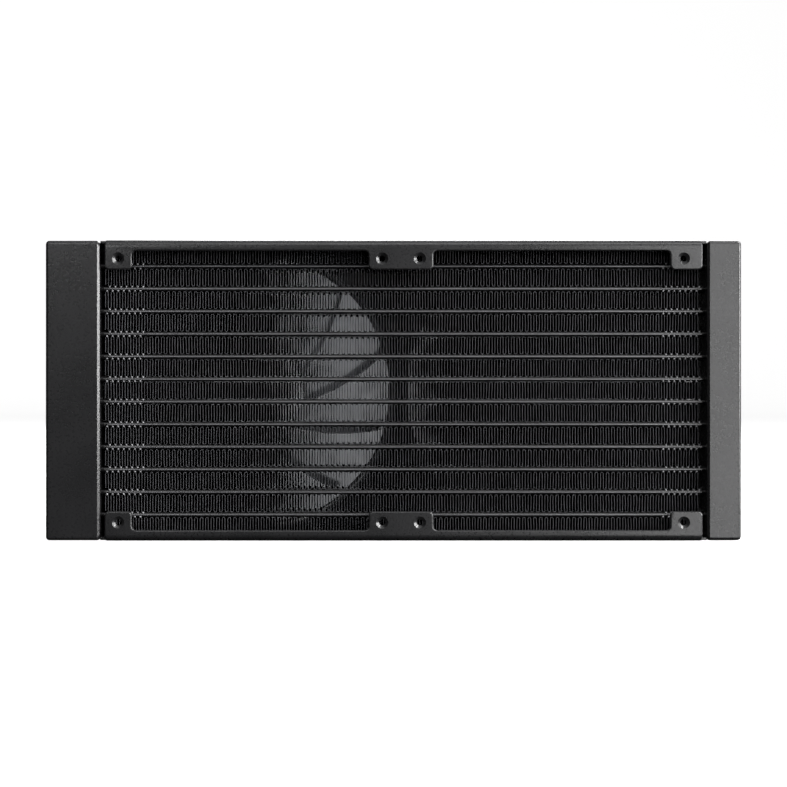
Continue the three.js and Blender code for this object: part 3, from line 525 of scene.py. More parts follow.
def makeRail(name, node, up):
    # drawn as the bottom rail, and mirrored in height for the top one
    s = railSizes
    atHeight = lambda edge, z: all(abs(vert.co.z - z) < tiny for vert in edge.verts)
    isBehind = lambda edge, y: all(vert.co.y > y - tiny for vert in edge.verts)
    bend = s["bendRadius"] * mm
    fromX, toX = railLow.x + (s["endGap"] - 0.1) * mm, railHigh.x - (s["endGap"] - 0.1) * mm
    edgeZ, tabZ = s["flange"] * mm, holeInset + s["tabRise"] * mm
    reach = s["tabReach"] * mm
    deselectAll()
    flat = edgeZ - bend
    bpy.ops.mesh.primitive_plane_add(
        size=1, location=((fromX + toX) / 2, frontY, bend + flat / 2), rotation=(math.pi / 2, 0, 0)
    )
    bpy.context.object.scale = (toX - fromX, flat, 1)
    rail = settle(bpy.context.object, name)
    edit(rail)
    pick(rail, "edges", lambda edge: abs(middleOf(edge).z - bend) < tiny)
    bpy.ops.mesh.spin(
        steps=s["bendSteps"], angle=-math.pi / 2, use_auto_merge=False,
        center=(0, frontY + bend, bend), axis=(1, 0, 0),
    )
    pick(rail, "edges", lambda edge: atHeight(edge, 0))
    extrude(y=backY - frontY - 2 * bend)
    pick(rail, "edges", lambda edge: atHeight(edge, 0) and isBehind(edge, backY - bend))
    bpy.ops.mesh.spin(
        steps=s["bendSteps"], angle=-math.pi / 2, use_auto_merge=False,
        center=(0, backY - bend, bend), axis=(1, 0, 0),
    )
    pick(rail, "edges", lambda edge: atHeight(edge, bend) and isBehind(edge, backY))
    extrude(z=flat)
    sides = [(fromX, holeXs[0] + reach), (holeXs[1] - reach, holeXs[2] + reach), (holeXs[3] - reach, toX)]
    for x in (sides[0][1], sides[1][0], sides[1][1], sides[2][0]):
        bpy.ops.mesh.select_all(action="SELECT")
        bpy.ops.mesh.bisect(plane_co=(x, 0, 0), plane_no=(1, 0, 0))
    overTab = lambda x: any(left - tiny < x < right + tiny for left, right in sides)
    pick(rail, "edges", lambda edge: atHeight(edge, edgeZ) and overTab(middleOf(edge).x))
    extrude(z=tabZ - edgeZ)
    bpy.ops.mesh.select_all(action="SELECT")
    bpy.ops.mesh.dissolve_limited(angle_limit=math.radians(1))
    tabEdges = [x for pair in sides for x in pair]
    isRoot = lambda vert: abs(vert.co.z - edgeZ) < tiny and fromX + tiny < vert.co.x < toX - tiny
    isCorner = lambda vert: any(abs(vert.co.x - x) < tiny for x in tabEdges) and (
        abs(vert.co.z - tabZ) < tiny or isRoot(vert)
    )
    pick(rail, "verts", isCorner)
    bpy.ops.mesh.bevel(offset=s["tabRadius"] * mm, segments=5, affect="VERTICES", profile=0.5)
    bpy.ops.mesh.select_all(action="SELECT")
    bpy.ops.mesh.normals_make_consistent(inside=False)
    leaveEdit()
    modify(rail, "SOLIDIFY", thickness=s["sheet"] * mm, offset=-1)
    softenEdges(rail, s["edge"] * mm, 5, 50, clamp=False)
    cones, drills = [], []
    for x in holeXs:
        for face, inward in ((frontY, 1), (backY, -1)):
            deep = face + inward * s["dimpleDepth"] * mm
            ends = sorted((face - inward * 0.02 * mm, deep))
            radii = (s["dimpleRadius"] * mm, s["holeRadius"] * mm)[::inward]
            cones.append(addCylinder("cone", radii[0], *ends, x, holeInset, 32, radii[1]))
            through = sorted((face - inward * 1 * mm, face + inward * 3 * mm))
            drills.append(addCylinder("drill", s["holeRadius"] * mm, *through, x, holeInset, 32))
    edit(rail)
    bpy.ops.mesh.quads_convert_to_tris()
    leaveEdit()
    combine(rail, joinAll(cones, "cones"), "DIFFERENCE")
    combine(rail, joinAll(drills, "drills"), "DIFFERENCE")
    if up < 0:
        choose(rail)
        rail.scale.z = -1
        rail.location.z = height
        settle(rail, name)
    tongues = []
    for end, (x0, x1) in enumerate(((railLow.x, fromX + 1 * mm), (toX - 1 * mm, railHigh.x))):
        # the tongue that hooks the rail into its tank
        z0, z1 = s["tongueLow"] * mm, s["tongueHigh"] * mm
        if up < 0:
            z0, z1 = height - z1, height - z0
        y0, y1 = frontY + s["tongueIn"] * mm, backY - s["tongueIn"] * mm
        tongue = addCube(f"{name}Tongue{end}", (x0, y0, z0), (x1, y1, z1))
        softenEdges(tongue, s["tongueEdge"] * mm, 2)
        tongues.append(tongue)
    rail = joinAll([rail] + tongues, name)
    edit(rail)
    bpy.ops.mesh.normals_make_consistent(inside=False)
    leaveEdit()
    smooth(rail, 28)
    return finishPiece(rail, powderCoat, "radiator", "rail_paint", node)


makeRail("bottomRail", "bottom_rail", 1)
makeRail("topRail", "top_rail", -1)
print("rails done")

# ---- fins: one thin strip per row, folded into tall loops, with the slight unevenness of a rolled strip

finSizes = {
    "waves": 107, "endGap": 0.3, "sheet": 0.17, "crownSteps": 5, "uneven": 0.42, "unevenSize": 7.0,
    "beads": 7, "bead": 0.4, "beadIn": 0.2,
}
waveCount, sheet = finSizes["waves"], finSizes["sheet"] * mm
stripX = finLow.x + finSizes["endGap"] * mm
wave = (finHigh.x - finSizes["endGap"] * mm - stripX) / waveCount
crown = wave / 4
legBottom, legTop = finLow.z + crown + sheet / 2, finHigh.z - crown - sheet / 2
clouds = bpy.data.textures.new("unevenFolds", "CLOUDS")
clouds.noise_scale = finSizes["unevenSize"] * mm


def makeFinRow(name, node):
    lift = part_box(node)[0].z - finLow.z
    strip = startAtPoint(name, (stripX, finLow.y, legBottom + lift))
    extrude(z=(legTop - legBottom) / 2)
    extrude(z=(legTop - legBottom) / 2)
    bpy.ops.mesh.spin(
        steps=finSizes["crownSteps"], angle=-math.pi, use_auto_merge=False,
        center=(stripX + crown, finLow.y, legTop + lift), axis=(0, 1, 0),
    )
    extrude(z=(legBottom - legTop) / 2)
    extrude(z=(legBottom - legTop) / 2)
    bpy.ops.mesh.spin(
        steps=finSizes["crownSteps"], angle=math.pi, use_auto_merge=False,
        center=(stripX + 3 * crown, finLow.y, legBottom + lift), axis=(0, 1, 0),
    )
    bpy.ops.mesh.select_all(action="SELECT")
    extrude(y=finHigh.y - finLow.y)
    leaveEdit()
    modify(
        strip, "ARRAY", count=waveCount, use_relative_offset=False, use_constant_offset=True,
        constant_offset_displace=(wave, 0, 0), use_merge_vertices=True, merge_threshold=0.01 * mm,
    )
    modify(
        strip, "DISPLACE", texture=clouds, direction="X", strength=finSizes["uneven"] * mm,
        texture_coords="LOCAL",
    )
    edit(strip)
    bpy.ops.mesh.normals_make_consistent(inside=False)
    leaveEdit()
    modify(strip, "SOLIDIFY", thickness=sheet, offset=0)
    # near the ends of the core the flux leaves small beads where the folds are brazed to the tubes; their
    # paleness is partly a painted glint
    beads = []
    beadIn = finSizes["beadIn"] * mm
    for beadZ, phase in ((finHigh.z + lift + beadIn, crown), (finLow.z + lift - beadIn, 3 * crown)):
        for firstWave in (0, waveCount - finSizes["beads"]):
            deselectAll()
            bpy.ops.mesh.primitive_ico_sphere_add(
                subdivisions=2, radius=finSizes["bead"] * mm,
                location=(stripX + phase + firstWave * wave, finLow.y, beadZ),
            )
            bead = settle(bpy.context.object, "bead")
            modify(
                bead, "ARRAY", count=finSizes["beads"], use_relative_offset=False, use_constant_offset=True,
                constant_offset_displace=(wave, 0, 0),
            )
            beads.append(bead)
    strip = joinAll([strip] + beads, name)
    smooth(strip, 50)
    return finishPiece(strip, finEnamel, "radiator", "fin_paint", node)


for row in range(1, 14):
    makeFinRow(f"finRow{row:02d}", f"fin_row_{row:02d}")
print("fins done:", waveCount, "waves a row")

# ---- flat tubes

tubeSizes = {"nose": 0.499, "noseSegments": 6}  # the nose's radius as a share of the thickness
tube = addCube("flatTube01", tubeLow, tubeHigh)
edit(tube)
pick(tube, "edges", lambda edge: abs((edge.verts[0].co - edge.verts[1].co).normalized().x) > 0.9)
noseRadius = tubeSizes["nose"] * (tubeHigh.z - tubeLow.z)
bpy.ops.mesh.bevel(offset=noseRadius, segments=tubeSizes["noseSegments"], profile=0.5)
leaveEdit()
smooth(tube, 40)
for number in range(2, 13):
    node = f"flat_tube_{number:02d}"
    twin = copyOf(tube, f"flatTube{number:02d}", z=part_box(node)[0].z - tubeLow.z)
    finishPiece(twin, tubeEnamel, "radiator", "tube_paint", node)
finishPiece(tube, tubeEnamel, "radiator", "tube_paint", "flat_tube_01")
print("tubes done")

# ---- fan frames

frameSizes = {
    "flange": 4.0, "corner": 5.0, "edge": 0.35, "duct": 57.8, "ductWall": 1.4, "lip": 2.4, "lipDepth": 2.6,
    "hole": 2.15, "base": 20.6, "baseThickness": 1.8, "labelRadius": 17.0, "labelDepth": 0.3,
    "strutWidth": 3.6, "strutDepth": 4.4, "lean": 24, "sleeve": 5.0, "sleeveBore": 3.7, "sleeveFront": 5.6,
    "mouth": 0.9, "mouthDepth": 1.4, "lipRise": 1.2, "baseEdge": 0.5, "strutTop": 1.5, "strutFoot": 0.5,
    "padReach": 14.0, "padDepth": 0.8, "padIn": 0.9, "padCorner": 2.6, "padGap": 1.2, "padEdge": 0.12,
    "padSpare": 0.12, "notch": (37.0, 46.0), "notchDepth": 1.6,
}


def aroundY(centre, radius, degrees, y):
    angle = math.radians(degrees)
    return Vector((centre.x + radius * math.cos(angle), y, centre.z + radius * math.sin(angle)))


def runsInX(edge):
    return abs(edge.verts[0].co.x - edge.verts[1].co.x) > 1 * mm


def cornerPad(name, low, high, centre, corner, spare):
    # a rubber pad in one corner of the frame's back face, cut round by the duct; spare makes room for its seat
    s = frameSizes
    away = Vector((corner[0], 0, corner[1]))
    frameCorner = Vector((high.x if corner[0] > 0 else low.x, 0, high.z if corner[1] > 0 else low.z))
    inner = frameCorner - away * (s["padReach"] * mm + spare)
    outer = frameCorner - away * (s["padIn"] * mm - spare)
    front = high.y - s["padDepth"] * mm - spare / 2
    lowCorner = Vector((min(outer.x, inner.x), front, min(outer.z, inner.z)))
    highCorner = Vector((max(outer.x, inner.x), high.y + 4 * spare, max(outer.z, inner.z)))
    pad = addCube(name, lowCorner, highCorner)
    edit(pad)
    pick(pad, "edges", lambda edge: abs(edge.verts[0].co.y - edge.verts[1].co.y) > 0.1 * mm)
    bpy.ops.mesh.bevel(offset=s["padCorner"] * mm, segments=5, profile=0.5)
    leaveEdit()
    radius = (s["duct"] + s["ductWall"] + s["padGap"]) * mm - spare
    duct = addCylinder("duct", radius, low.y, high.y + 2 * mm, centre.x, centre.z, 96)
    combine(pad, duct, "DIFFERENCE")
    return pad


def makeFanFrame(name, node, low, high):
    s = frameSizes
    centre = (low + high) / 2
    front, back = low.y, high.y
    flange = s["flange"] * mm
    shell = addCube(name, low, (high.x, front + flange, high.z))
    edit(shell)
    pick(shell, "edges", lambda edge: abs(edge.verts[0].co.y - edge.verts[1].co.y) > 1 * mm)
    bpy.ops.mesh.bevel(offset=s["corner"] * mm, segments=7, profile=0.5)
    leaveEdit()
    softenEdges(shell, s["edge"] * mm, 2, 50)
    combine(shell, copyOf(shell, "backFlange", y=back - front - flange), "UNION")
    radius, short = (s["duct"] + s["ductWall"]) * mm, 0.2 * mm
    outerDuct = addCylinder("outerDuct", radius, front + short, back - short, centre.x, centre.z, 120)
    combine(shell, outerDuct, "UNION")
    lipStart = back - s["lipDepth"] * mm
    mouth, mouthDepth = s["duct"] + s["mouth"], s["mouthDepth"] * mm
    bore = addCylinder("bore", mouth * mm, front - 1 * mm, front, centre.x, centre.z, 120)
    edit(bore)
    pick(bore, "faces", lambda face: face.normal.y > 0.9)
    # the mouth narrows to the duct, and the duct to the lip at its back
    steps = (
        (mouthDepth, s["duct"] / mouth, lipStart - front - mouthDepth),
        (s["lipRise"] * mm, (s["duct"] - s["lip"]) / s["duct"], back - lipStart),
    )
    for length, narrow, onward in steps:
        extrude(y=length)
        bpy.ops.transform.resize(value=(narrow, 1, narrow), center_override=(centre.x, 0, centre.z))
        extrude(y=onward)
    leaveEdit()
    combine(shell, bore, "DIFFERENCE")
    floor = back - s["baseThickness"] * mm
    base = addCylinder("motorBase", s["base"] * mm, floor, back, centre.x, centre.z, 96)
    edit(base)
    pick(base, "faces", lambda face: face.normal.y > 0.9)
    bpy.ops.mesh.inset(thickness=(s["base"] - s["labelRadius"]) * mm)
    extrude(y=-s["labelDepth"] * mm)
    isOuter = lambda edge: (middleOf(edge) - centre).length > (s["base"] - 1) * mm
    pick(base, "edges", lambda edge: all(vert.co.y > back - tiny for vert in edge.verts) and isOuter(edge))
    bpy.ops.mesh.bevel(offset=s["baseEdge"] * mm, segments=3, profile=0.5)
    leaveEdit()
    sleeveFront = front + s["sleeveFront"] * mm
    sleeve = addCylinder("sleeve", s["sleeve"] * mm, sleeveFront, back - 1 * mm, centre.x, centre.z, 48)
    combine(base, sleeve, "UNION")
    bore = addCylinder("sleeveBore", s["sleeveBore"] * mm, front + 4 * mm, floor, centre.x, centre.z, 48)
    combine(base, bore, "DIFFERENCE")
    for quarter in range(4):
        root = aroundY(centre, (s["base"] - s["strutWidth"] / 2) * mm, 45 + 90 * quarter, centre.y)
        tip = aroundY(centre, (s["duct"] + s["ductWall"] / 2) * mm, 45 + 90 * quarter + s["lean"], centre.y)
        length, width, depth = (tip - root).length, s["strutWidth"] * mm, s["strutDepth"] * mm
        strut = addCube("strut", (0, -depth, -width / 2), (length, -0.15 * mm, width / 2))
        edit(strut)
        pick(strut, "edges", lambda edge: runsInX(edge) and middleOf(edge).y < -depth / 2)
        bpy.ops.mesh.bevel(offset=s["strutTop"] * mm, segments=5, profile=0.5)
        pick(strut, "edges", lambda edge: runsInX(edge) and middleOf(edge).y > -depth / 3)
        bpy.ops.mesh.bevel(offset=s["strutFoot"] * mm, segments=2, profile=0.5)
        leaveEdit()
        direction = tip - root
        strut.rotation_euler = (0, -math.atan2(direction.z, direction.x), 0)
        strut.location = (root.x, back, root.z)
        settle(strut, "strut")
        combine(base, strut, "UNION")
    combine(shell, base, "UNION")
    holes = [hole for hole in screwCentres if low.x < hole.x < high.x]
    for hole in holes:
        drill = addCylinder("drill", s["hole"] * mm, front - 1 * mm, back + 1 * mm, hole.x, hole.z, 32)
        combine(shell, drill, "DIFFERENCE")
    notchLow = (centre.x + s["notch"][0] * mm, back - flange - 0.3 * mm, high.z - s["notchDepth"] * mm)
    notchHigh = (centre.x + s["notch"][1] * mm, back + 1 * mm, high.z + 1 * mm)
    combine(shell, addCube("notch", notchLow, notchHigh), "DIFFERENCE")
    pads = []
    for corner in ((-1, -1), (-1, 1), (1, -1), (1, 1)):
        seat = cornerPad("padSeat", low, high, centre, corner, s["padSpare"] * mm)
        combine(shell, seat, "DIFFERENCE")
        pads.append(cornerPad("pad", low, high, centre, corner, 0))
    tidyMesh(shell)
    smooth(shell, 32)
    finishPiece(shell, framePlastic, "radiator", "fan_frame_plastic", node)
    pad = joinAll(pads, f"{name}Pads")
    for hole in holes:
        drill = addCylinder("drill", s["hole"] * mm, back - 3 * mm, back + 1 * mm, hole.x, hole.z, 32)
        combine(pad, drill, "DIFFERENCE")
    softenEdges(pad, s["padEdge"] * mm, 2, 50)
    smooth(pad, 40)
    finishPiece(pad, rubber, "radiator", "seal_rubber")
    # the blank film lies in its recess, sunk a little into the plastic
    labelFront = back - (s["labelDepth"] + 0.02) * mm
    labelBack = back - (s["labelDepth"] - 0.18) * mm
    labelRadius = (s["labelRadius"] - 0.25) * mm
    label = addCylinder(f"{name}Label", labelRadius, labelFront, labelBack, centre.x, centre.z, 96)
    softenEdges(label, 0.05 * mm, 1, 50)
    smooth(label, 40)
    finishPiece(label, labelFilm, "radiator", "fan_frame_plastic")


for number, (low, high) in enumerate(fanBoxes, 1):
    makeFanFrame(f"fan{number}Frame", f"fan_{number}_frame", low, high)
print("fan frames done")

# ---- impellers

litBlades = bpy.data.collections.new("litBlades")  # what the light on the blades shines on

impellerSizes = {
    "hub": 21.0, "hubWall": 1.6, "hubFace": 2.0, "hubEdge": 2.0, "bladeFront": 3.0, "bladeBack": 18.6,
    "tip": 56.3, "blades": 11, "sweep": 34, "sweepPower": 0.6, "cover": 1.08, "camber": 0.09,
    "thickness": 1.25, "bladeEdge": 0.4, "spanSteps": 8, "chordSteps": 8, "phases": (-2.6, 11.5),
}


def bladePoint(centre, front, radius, turn, along):
    s = impellerSizes
    space = 360 / s["blades"]
    rise = along + s["camber"] * math.sin(math.pi * along)
    depth = s["bladeBack"] - (s["bladeBack"] - s["bladeFront"]) * rise
    return aroundY(centre, radius * mm, turn + space * s["cover"] * (along - 0.5), front + depth * mm)


def makeImpeller(name, node, centre, front, phase):
    s = impellerSizes
    hubLow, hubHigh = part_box(node)
    hub = addCylinder(name, s["hub"] * mm, hubLow.y, hubHigh.y, centre.x, centre.z, 96)
    edit(hub)
    pick(hub, "faces", lambda face: face.normal.y > 0.9)
    bpy.ops.mesh.inset(thickness=s["hubWall"] * mm)
    extrude(y=-(hubHigh.y - hubLow.y - s["hubFace"] * mm))
    pick(hub, "edges", lambda edge: all(vert.co.y < hubLow.y + tiny for vert in edge.verts))
    bpy.ops.mesh.bevel(offset=s["hubEdge"] * mm, segments=6, profile=0.5)
    leaveEdit()
    root = s["hub"] - s["hubWall"] / 2
    shares = [step / s["chordSteps"] for step in range(s["chordSteps"] + 1)]
    points = [bladePoint(centre, front, root, phase, share) for share in shares]
    blade = startAtPoint("blade", points[0])
    for before, after in zip(points, points[1:]):
        extrude(*(after - before))
    bpy.ops.mesh.select_all(action="SELECT")
    share, radius = 0.0, root
    for step in range(1, s["spanSteps"] + 1):
        nextShare = step / s["spanSteps"]
        nextRadius = root + nextShare * (s["tip"] - root)
        turn = s["sweep"] * (nextShare ** s["sweepPower"] - share ** s["sweepPower"])
        grow = nextRadius / radius
        extrude()
        bpy.ops.transform.resize(value=(grow, 1, grow), center_override=centre)
        bpy.ops.transform.rotate(value=math.radians(turn), orient_axis="Y", center_override=centre)
        share, radius = nextShare, nextRadius
    bpy.ops.mesh.select_all(action="SELECT")
    bpy.ops.mesh.normals_make_consistent(inside=False)
    leaveEdit()
    modify(blade, "SOLIDIFY", thickness=s["thickness"] * mm, offset=0)
    softenEdges(blade, s["bladeEdge"] * mm, 3, 50)
    blades = [blade]
    for number in range(1, s["blades"]):
        twin = copyOf(blade, f"blade{number}")
        choose(twin)
        turn = math.radians(number * 360 / s["blades"])
        bpy.ops.transform.rotate(value=turn, orient_axis="Y", center_override=centre)
        blades.append(settle(twin, f"blade{number}"))
    impeller = joinAll([hub] + blades, name)
    smooth(impeller, 40)
    litBlades.objects.link(impeller)
    return finishPiece(impeller, bladePlastic, f"{node[:5]}_rotor", "impeller_plastic", node)


for number, (low, high) in enumerate(fanBoxes, 1):
    phase = impellerSizes["phases"][number - 1]
    makeImpeller(f"fan{number}Impeller", f"fan_{number}_impeller", (low + high) / 2, low.y, phase)
print("impellers done")

# ---- screws: M3 pan heads with a cross recess and a full thread

screwSizes = {
    "head": 2.8, "headHeight": 2.2, "crown": 0.95, "headEdge": 0.15,
    "arm": 1.35, "armWidth": 0.62, "armTaper": 0.62, "recess": 1.2,
    "crest": 1.42, "core": 1.2, "pitch": 0.5, "point": 0.6, "pointTaper": 0.7,
}
firstLow, firstHigh = screwBoxes[0]
firstCentre = screwCentres[0]


def makeScrew(name):
    s = screwSizes
    x, z = firstCentre.x, firstCentre.z
    seat = firstHigh.y - s["headHeight"] * mm
    head = addCylinder(name, s["head"] * mm, seat, firstHigh.y, x, z, 40)
    edit(head)
    pick(head, "edges", lambda edge: all(vert.co.y > firstHigh.y - tiny for vert in edge.verts))
    bpy.ops.mesh.bevel(offset=s["crown"] * mm, segments=5, profile=0.5)
    pick(head, "edges", lambda edge: all(vert.co.y < seat + tiny for vert in edge.verts))
    bpy.ops.mesh.bevel(offset=s["headEdge"] * mm, segments=2, profile=0.5)
    leaveEdit()
    for reach, width in ((s["arm"], s["armWidth"]), (s["armWidth"], s["arm"])):
        arm = addCube(
            "arm", (x - reach * mm, firstHigh.y - s["recess"] * mm, z - width * mm),
            (x + reach * mm, firstHigh.y + 0.5 * mm, z + width * mm),
        )
        edit(arm)
        pick(arm, "faces", lambda face: face.normal.y < -0.9)
        bpy.ops.transform.resize(value=(s["armTaper"], 1, s["armTaper"]), center_override=(x, 0, z))
        leaveEdit()
        combine(head, arm, "DIFFERENCE")
    tip = firstLow.y
    thread = startAtPoint("thread", (x + s["core"] * mm, tip + s["point"] * mm, z))
    extrude(x=(s["crest"] - s["core"]) * mm, y=s["pitch"] * 0.4 * mm)
    extrude(x=(s["core"] - s["crest"]) * mm, y=s["pitch"] * 0.4 * mm)
    extrude(y=s["pitch"] * 0.2 * mm)
    bpy.ops.mesh.select_all(action="SELECT")
    bpy.ops.mesh.spin(steps=16, angle=2 * math.pi, use_auto_merge=False, center=(x, 0, z), axis=(0, 1, 0))
    leaveEdit()
    tidyMesh(thread)
    turns = int((seat - tip - s["point"] * mm) / (s["pitch"] * mm))
    modify(
        thread, "ARRAY", count=turns, use_relative_offset=False, use_constant_offset=True,
        constant_offset_displace=(0, s["pitch"] * mm, 0), use_merge_vertices=True,
        merge_threshold=0.01 * mm,
    )
    edit(thread)
    for end in (min, max):
        limit = end(vert.co.y for vert in thread.data.vertices)
        pick(thread, "verts", lambda vert: abs(vert.co.y - limit) < tiny)
        if end is min:
            extrude(y=-0.5 * mm)
            bpy.ops.transform.resize(value=(s["pointTaper"], 1, s["pointTaper"]), center_override=(x, 0, z))
        else:
            extrude(y=seat + 0.4 * mm - limit)
        bpy.ops.mesh.edge_face_add()
    leaveEdit()
    tidyMesh(thread)
    screw = joinAll([head, thread], name)
    smooth(screw, 35)
    return screw


screw = makeScrew("fanScrew1")
for number in range(2, 9):
    shift = screwCentres[number - 1] - firstCentre
    twin = copyOf(screw, f"fanScrew{number}", x=shift.x, z=shift.z)
    finishPiece(twin, blackOxide, "radiator", "screw_steel", f"fan_screw_{number}")
finishPiece(screw, blackOxide, "radiator", "screw_steel", "fan_screw_1")
print("screws done")

# ---- hose fittings and their rings

fittingSizes = {
    "bore": 3.3, "thread": 4.9, "barb": 4.1, "barbLength": 13.0, "ridge": 0.8, "ridgeStep": 0.3,
    "ridges": 3, "nut": 7.6, "nutHeight": 4.0, "nutEdge": 0.5, "collar": 5.6, "collarBack": 1.0,
    "chamfer": 0.4, "tipChamfer": 0.25, "ringSwell": 0.29,
}


def makeFitting(name, node, ringNode):
    s = fittingSizes
    low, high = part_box(node)
    x, z = (low.x + high.x) / 2, (low.z + high.z) / 2
    nutBack = high.y - s["barbLength"] * mm
    nutFront = nutBack - s["nutHeight"] * mm
    ridgePitch = s["barbLength"] / (s["ridges"] + 1)
    bore, thread, collar, chamfer = s["bore"], s["thread"], s["collar"], s["chamfer"]
    barb, ridgeTop, tipRadius = s["barb"], s["barb"] + s["ridge"], s["barb"] - s["tipChamfer"]
    collarBack = s["collarBack"] * mm
    # radius in millimetres and place in depth, from the bore's front end round the outside and back
    profile = [
        (bore, low.y), (thread - chamfer, low.y), (thread, low.y + chamfer * mm), (thread, nutFront),
        (thread, nutBack - collarBack), (collar, nutBack - collarBack), (collar, nutBack + 0.6 * mm),
        (collar - chamfer, nutBack + collarBack), (barb, nutBack + collarBack),
    ]
    for ridge in range(1, s["ridges"] + 1):
        y = nutBack + ridge * ridgePitch * mm
        profile += [(barb, y - s["ridgeStep"] * mm), (ridgeTop, y - 0.1 * mm), (ridgeTop, y)]
        profile.append((barb, y + ridgePitch / 2 * mm))
    profile += [(barb, high.y - 0.3 * mm), (tipRadius, high.y), (bore, high.y), (bore, low.y)]
    spigot = startAtPoint(name, (x + profile[0][0] * mm, profile[0][1], z))
    for (fromRadius, fromPlace), (toRadius, toPlace) in zip(profile, profile[1:]):
        extrude(x=(toRadius - fromRadius) * mm, y=toPlace - fromPlace)
    bpy.ops.mesh.select_all(action="SELECT")
    bpy.ops.mesh.spin(steps=48, angle=2 * math.pi, use_auto_merge=False, center=(x, 0, z), axis=(0, 1, 0))
    leaveEdit()
    tidyMesh(spigot)
    nut = addCylinder("nut", s["nut"] * mm, nutFront, nutBack, x, z, 6)
    softenEdges(nut, s["nutEdge"] * mm, 3, 30)
    nutBore = addCylinder("nutBore", (bore + barb) / 2 * mm, nutFront - 1 * mm, nutBack + 1 * mm, x, z, 48)
    combine(nut, nutBore, "DIFFERENCE")
    fitting = joinAll([spigot, nut], name)
    smooth(fitting, 35)
    finishPiece(fitting, blackAnodised, "radiator", "fitting_metal", node)
    ringLow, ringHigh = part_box(ringNode)
    section, ringY = (ringHigh.y - ringLow.y) / 2, (ringLow.y + ringHigh.y) / 2
    deselectAll()
    bpy.ops.mesh.primitive_torus_add(
        location=(x, ringY, z), rotation=(math.pi / 2, 0, 0), major_segments=64, minor_segments=20,
        major_radius=(ringHigh.x - ringLow.x) / 2 - section, minor_radius=section,
    )
    ring = settle(bpy.context.object, f"{name}Ring")
    edit(ring)
    # squeezed against the boss and the nut, it swells until it fills the gap
    swell = (section + s["ringSwell"] * mm) / section
    bpy.ops.transform.resize(value=(1, swell, 1), center_override=(x, ringY, z))
    leaveEdit()
    smooth(ring, 60)
    finishPiece(ring, rubber, "radiator", "seal_rubber", ringNode)


makeFitting("outletFitting", "outlet_fitting", "outlet_o_ring")
makeFitting("inletFitting", "inlet_fitting", "inlet_o_ring")
print("fittings done")

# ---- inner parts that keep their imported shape, with their finishes

keptParts = {node: powderCoat for node in ("port_header_plate", "return_header_plate", "tank_divider")}
motorParts = {
    "magnet_ring": bondedFerrite, "shaft": groundSteel, "bearing": sinteredBronze, "stator": laminations,
    "circuit_board": solderMask,
}
for fan in fanNames:
    keptParts.update({f"{fan}_{part}": material for part, material in motorParts.items()})
for node, material in keptParts.items():
    part = frame["nodes"][node]
    part.data.materials.clear()
    part.data.materials.append(material)
print("inner parts done")

# ---- studio: a pale floor that rises into a pale wall all round, soft lights and the camera

studioSizes = {"radius": 4.0, "height": 5.0, "sweep": 1.2}
deselectAll()
bpy.ops.mesh.primitive_cylinder_add(
    vertices=96, radius=studioSizes["radius"], depth=studioSizes["height"],
    location=(0, 0, studioSizes["height"] / 2),
)
studio = settle(bpy.context.object, "studioFloor")
edit(studio)
pick(studio, "edges", lambda edge: all(vert.co.z < 1e-4 for vert in edge.verts))
bpy.ops.mesh.bevel(offset=studioSizes["sweep"], segments=12, profile=0.5)
bpy.ops.mesh.select_all(action="SELECT")
bpy.ops.mesh.flip_normals()
leaveEdit()
smooth(studio, 60)
studio.data.materials.append(paperFloor)
studio.visible_diffuse = False
studio.visible_glossy = False
studio.visible_transmission = False
studio.visible_shadow = False


middle = (cadBounds[0] + cadBounds[1]) / 2


def addSoftLight(name, place, size, power):
    deselectAll()
    bpy.ops.object.light_add(type="AREA", location=place)
    light = bpy.context.object
    light.name = name
    light.data.shape = "RECTANGLE"
    light.data.size, light.data.size_y = size
    light.data.energy = power
    light.data.spread = math.pi
    light.rotation_euler = (middle - Vector(place)).to_track_quat("-Z", "Y").to_euler()
    light.visible_camera = False
    return light


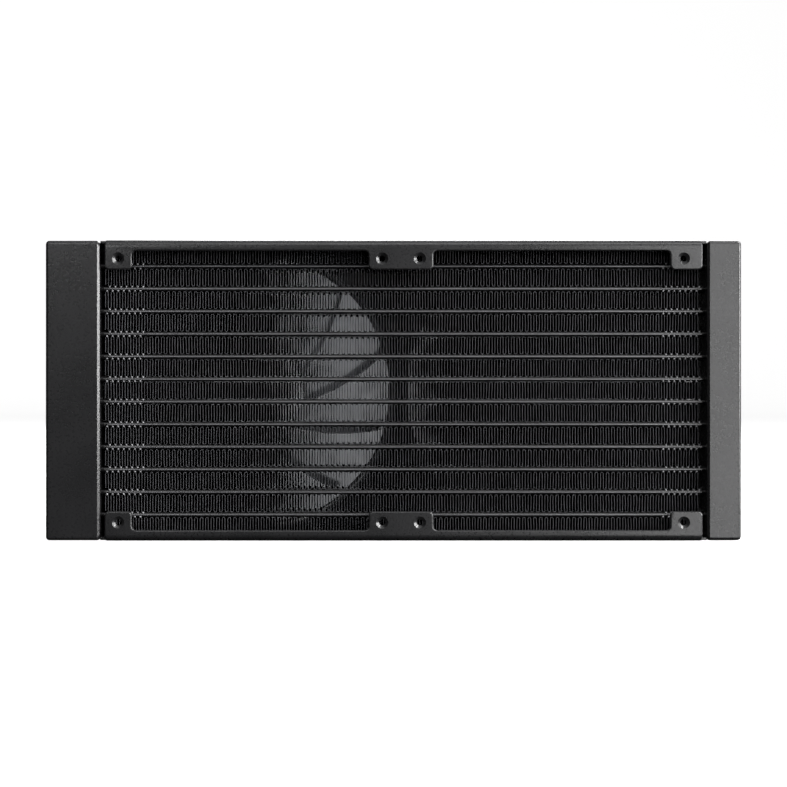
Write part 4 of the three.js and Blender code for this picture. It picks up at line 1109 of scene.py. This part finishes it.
def around(turn, rise, distance):
    # a place round the object: turn runs from straight in front towards the right
    turn, rise = math.radians(turn), math.radians(rise)
    flat = distance * math.cos(rise)
    return middle + Vector((flat * math.sin(turn), -flat * math.cos(turn), distance * math.sin(rise)))


# every light faces the middle of the object: its place, its width and height in metres, and its watts
softLights = {
    "topSoftbox": ((0.0, -0.10, 1.25), (1.4, 0.8), 2.8),
    "upperSoftbox": (around(14, 55, 1.3), (1.1, 0.25), 4.6),
    "keySoftbox": (around(21.5, 2, 1.3), (0.22, 1.3), 6.1),
    "keyWing": (around(50, 6, 1.3), (0.5, 1.1), 5),
    "rightSoftbox": (around(72, 12, 1.3), (0.3, 0.7), 21),
    "cornerSoftbox": (around(64, 44, 1.3), (0.35, 0.35), 15),
    "leftTopSoftbox": (around(-22, 20, 1.4), (0.3, 0.3), 2.9),
    "backSoftbox": ((0.3, 1.2, 0.9), (1.2, 0.8), 22),
}
for name, (place, size, power) in softLights.items():
    addSoftLight(name, place, size, power)
bladeLight = addSoftLight("bladeLight", (0.05, -1.3, -0.35), (0.2, 0.2), 8.5)
bladeLight.light_linking.receiver_collection = litBlades  # it shines on the blades alone
bladeLight.light_linking.blocker_collection = litBlades

worldStrength = 0.005
world = bpy.context.scene.world or bpy.data.worlds.new("studioAir")
bpy.context.scene.world = world
world.use_nodes = True
background = world.node_tree.nodes["Background"]
background.inputs["Color"].default_value = (1, 1, 1, 1)
background.inputs["Strength"].default_value = worldStrength

cameraSizes = {"x": -0.017, "z": 0.060, "distance": 0.560, "lens": 64.43, "shift": (0.0543, -0.0038)}
deselectAll()
bpy.ops.object.camera_add(
    location=(cameraSizes["x"], frontY - cameraSizes["distance"], cameraSizes["z"]),
    rotation=(math.pi / 2, 0, 0),
)
camera = bpy.context.object
camera.data.lens = cameraSizes["lens"]
camera.data.shift_x, camera.data.shift_y = cameraSizes["shift"]
camera.data.clip_start = 0.01
bpy.context.scene.camera = camera
bpy.context.scene.view_settings.view_transform = "Standard"
bpy.context.scene.view_settings.look = "None"
print("studio done")
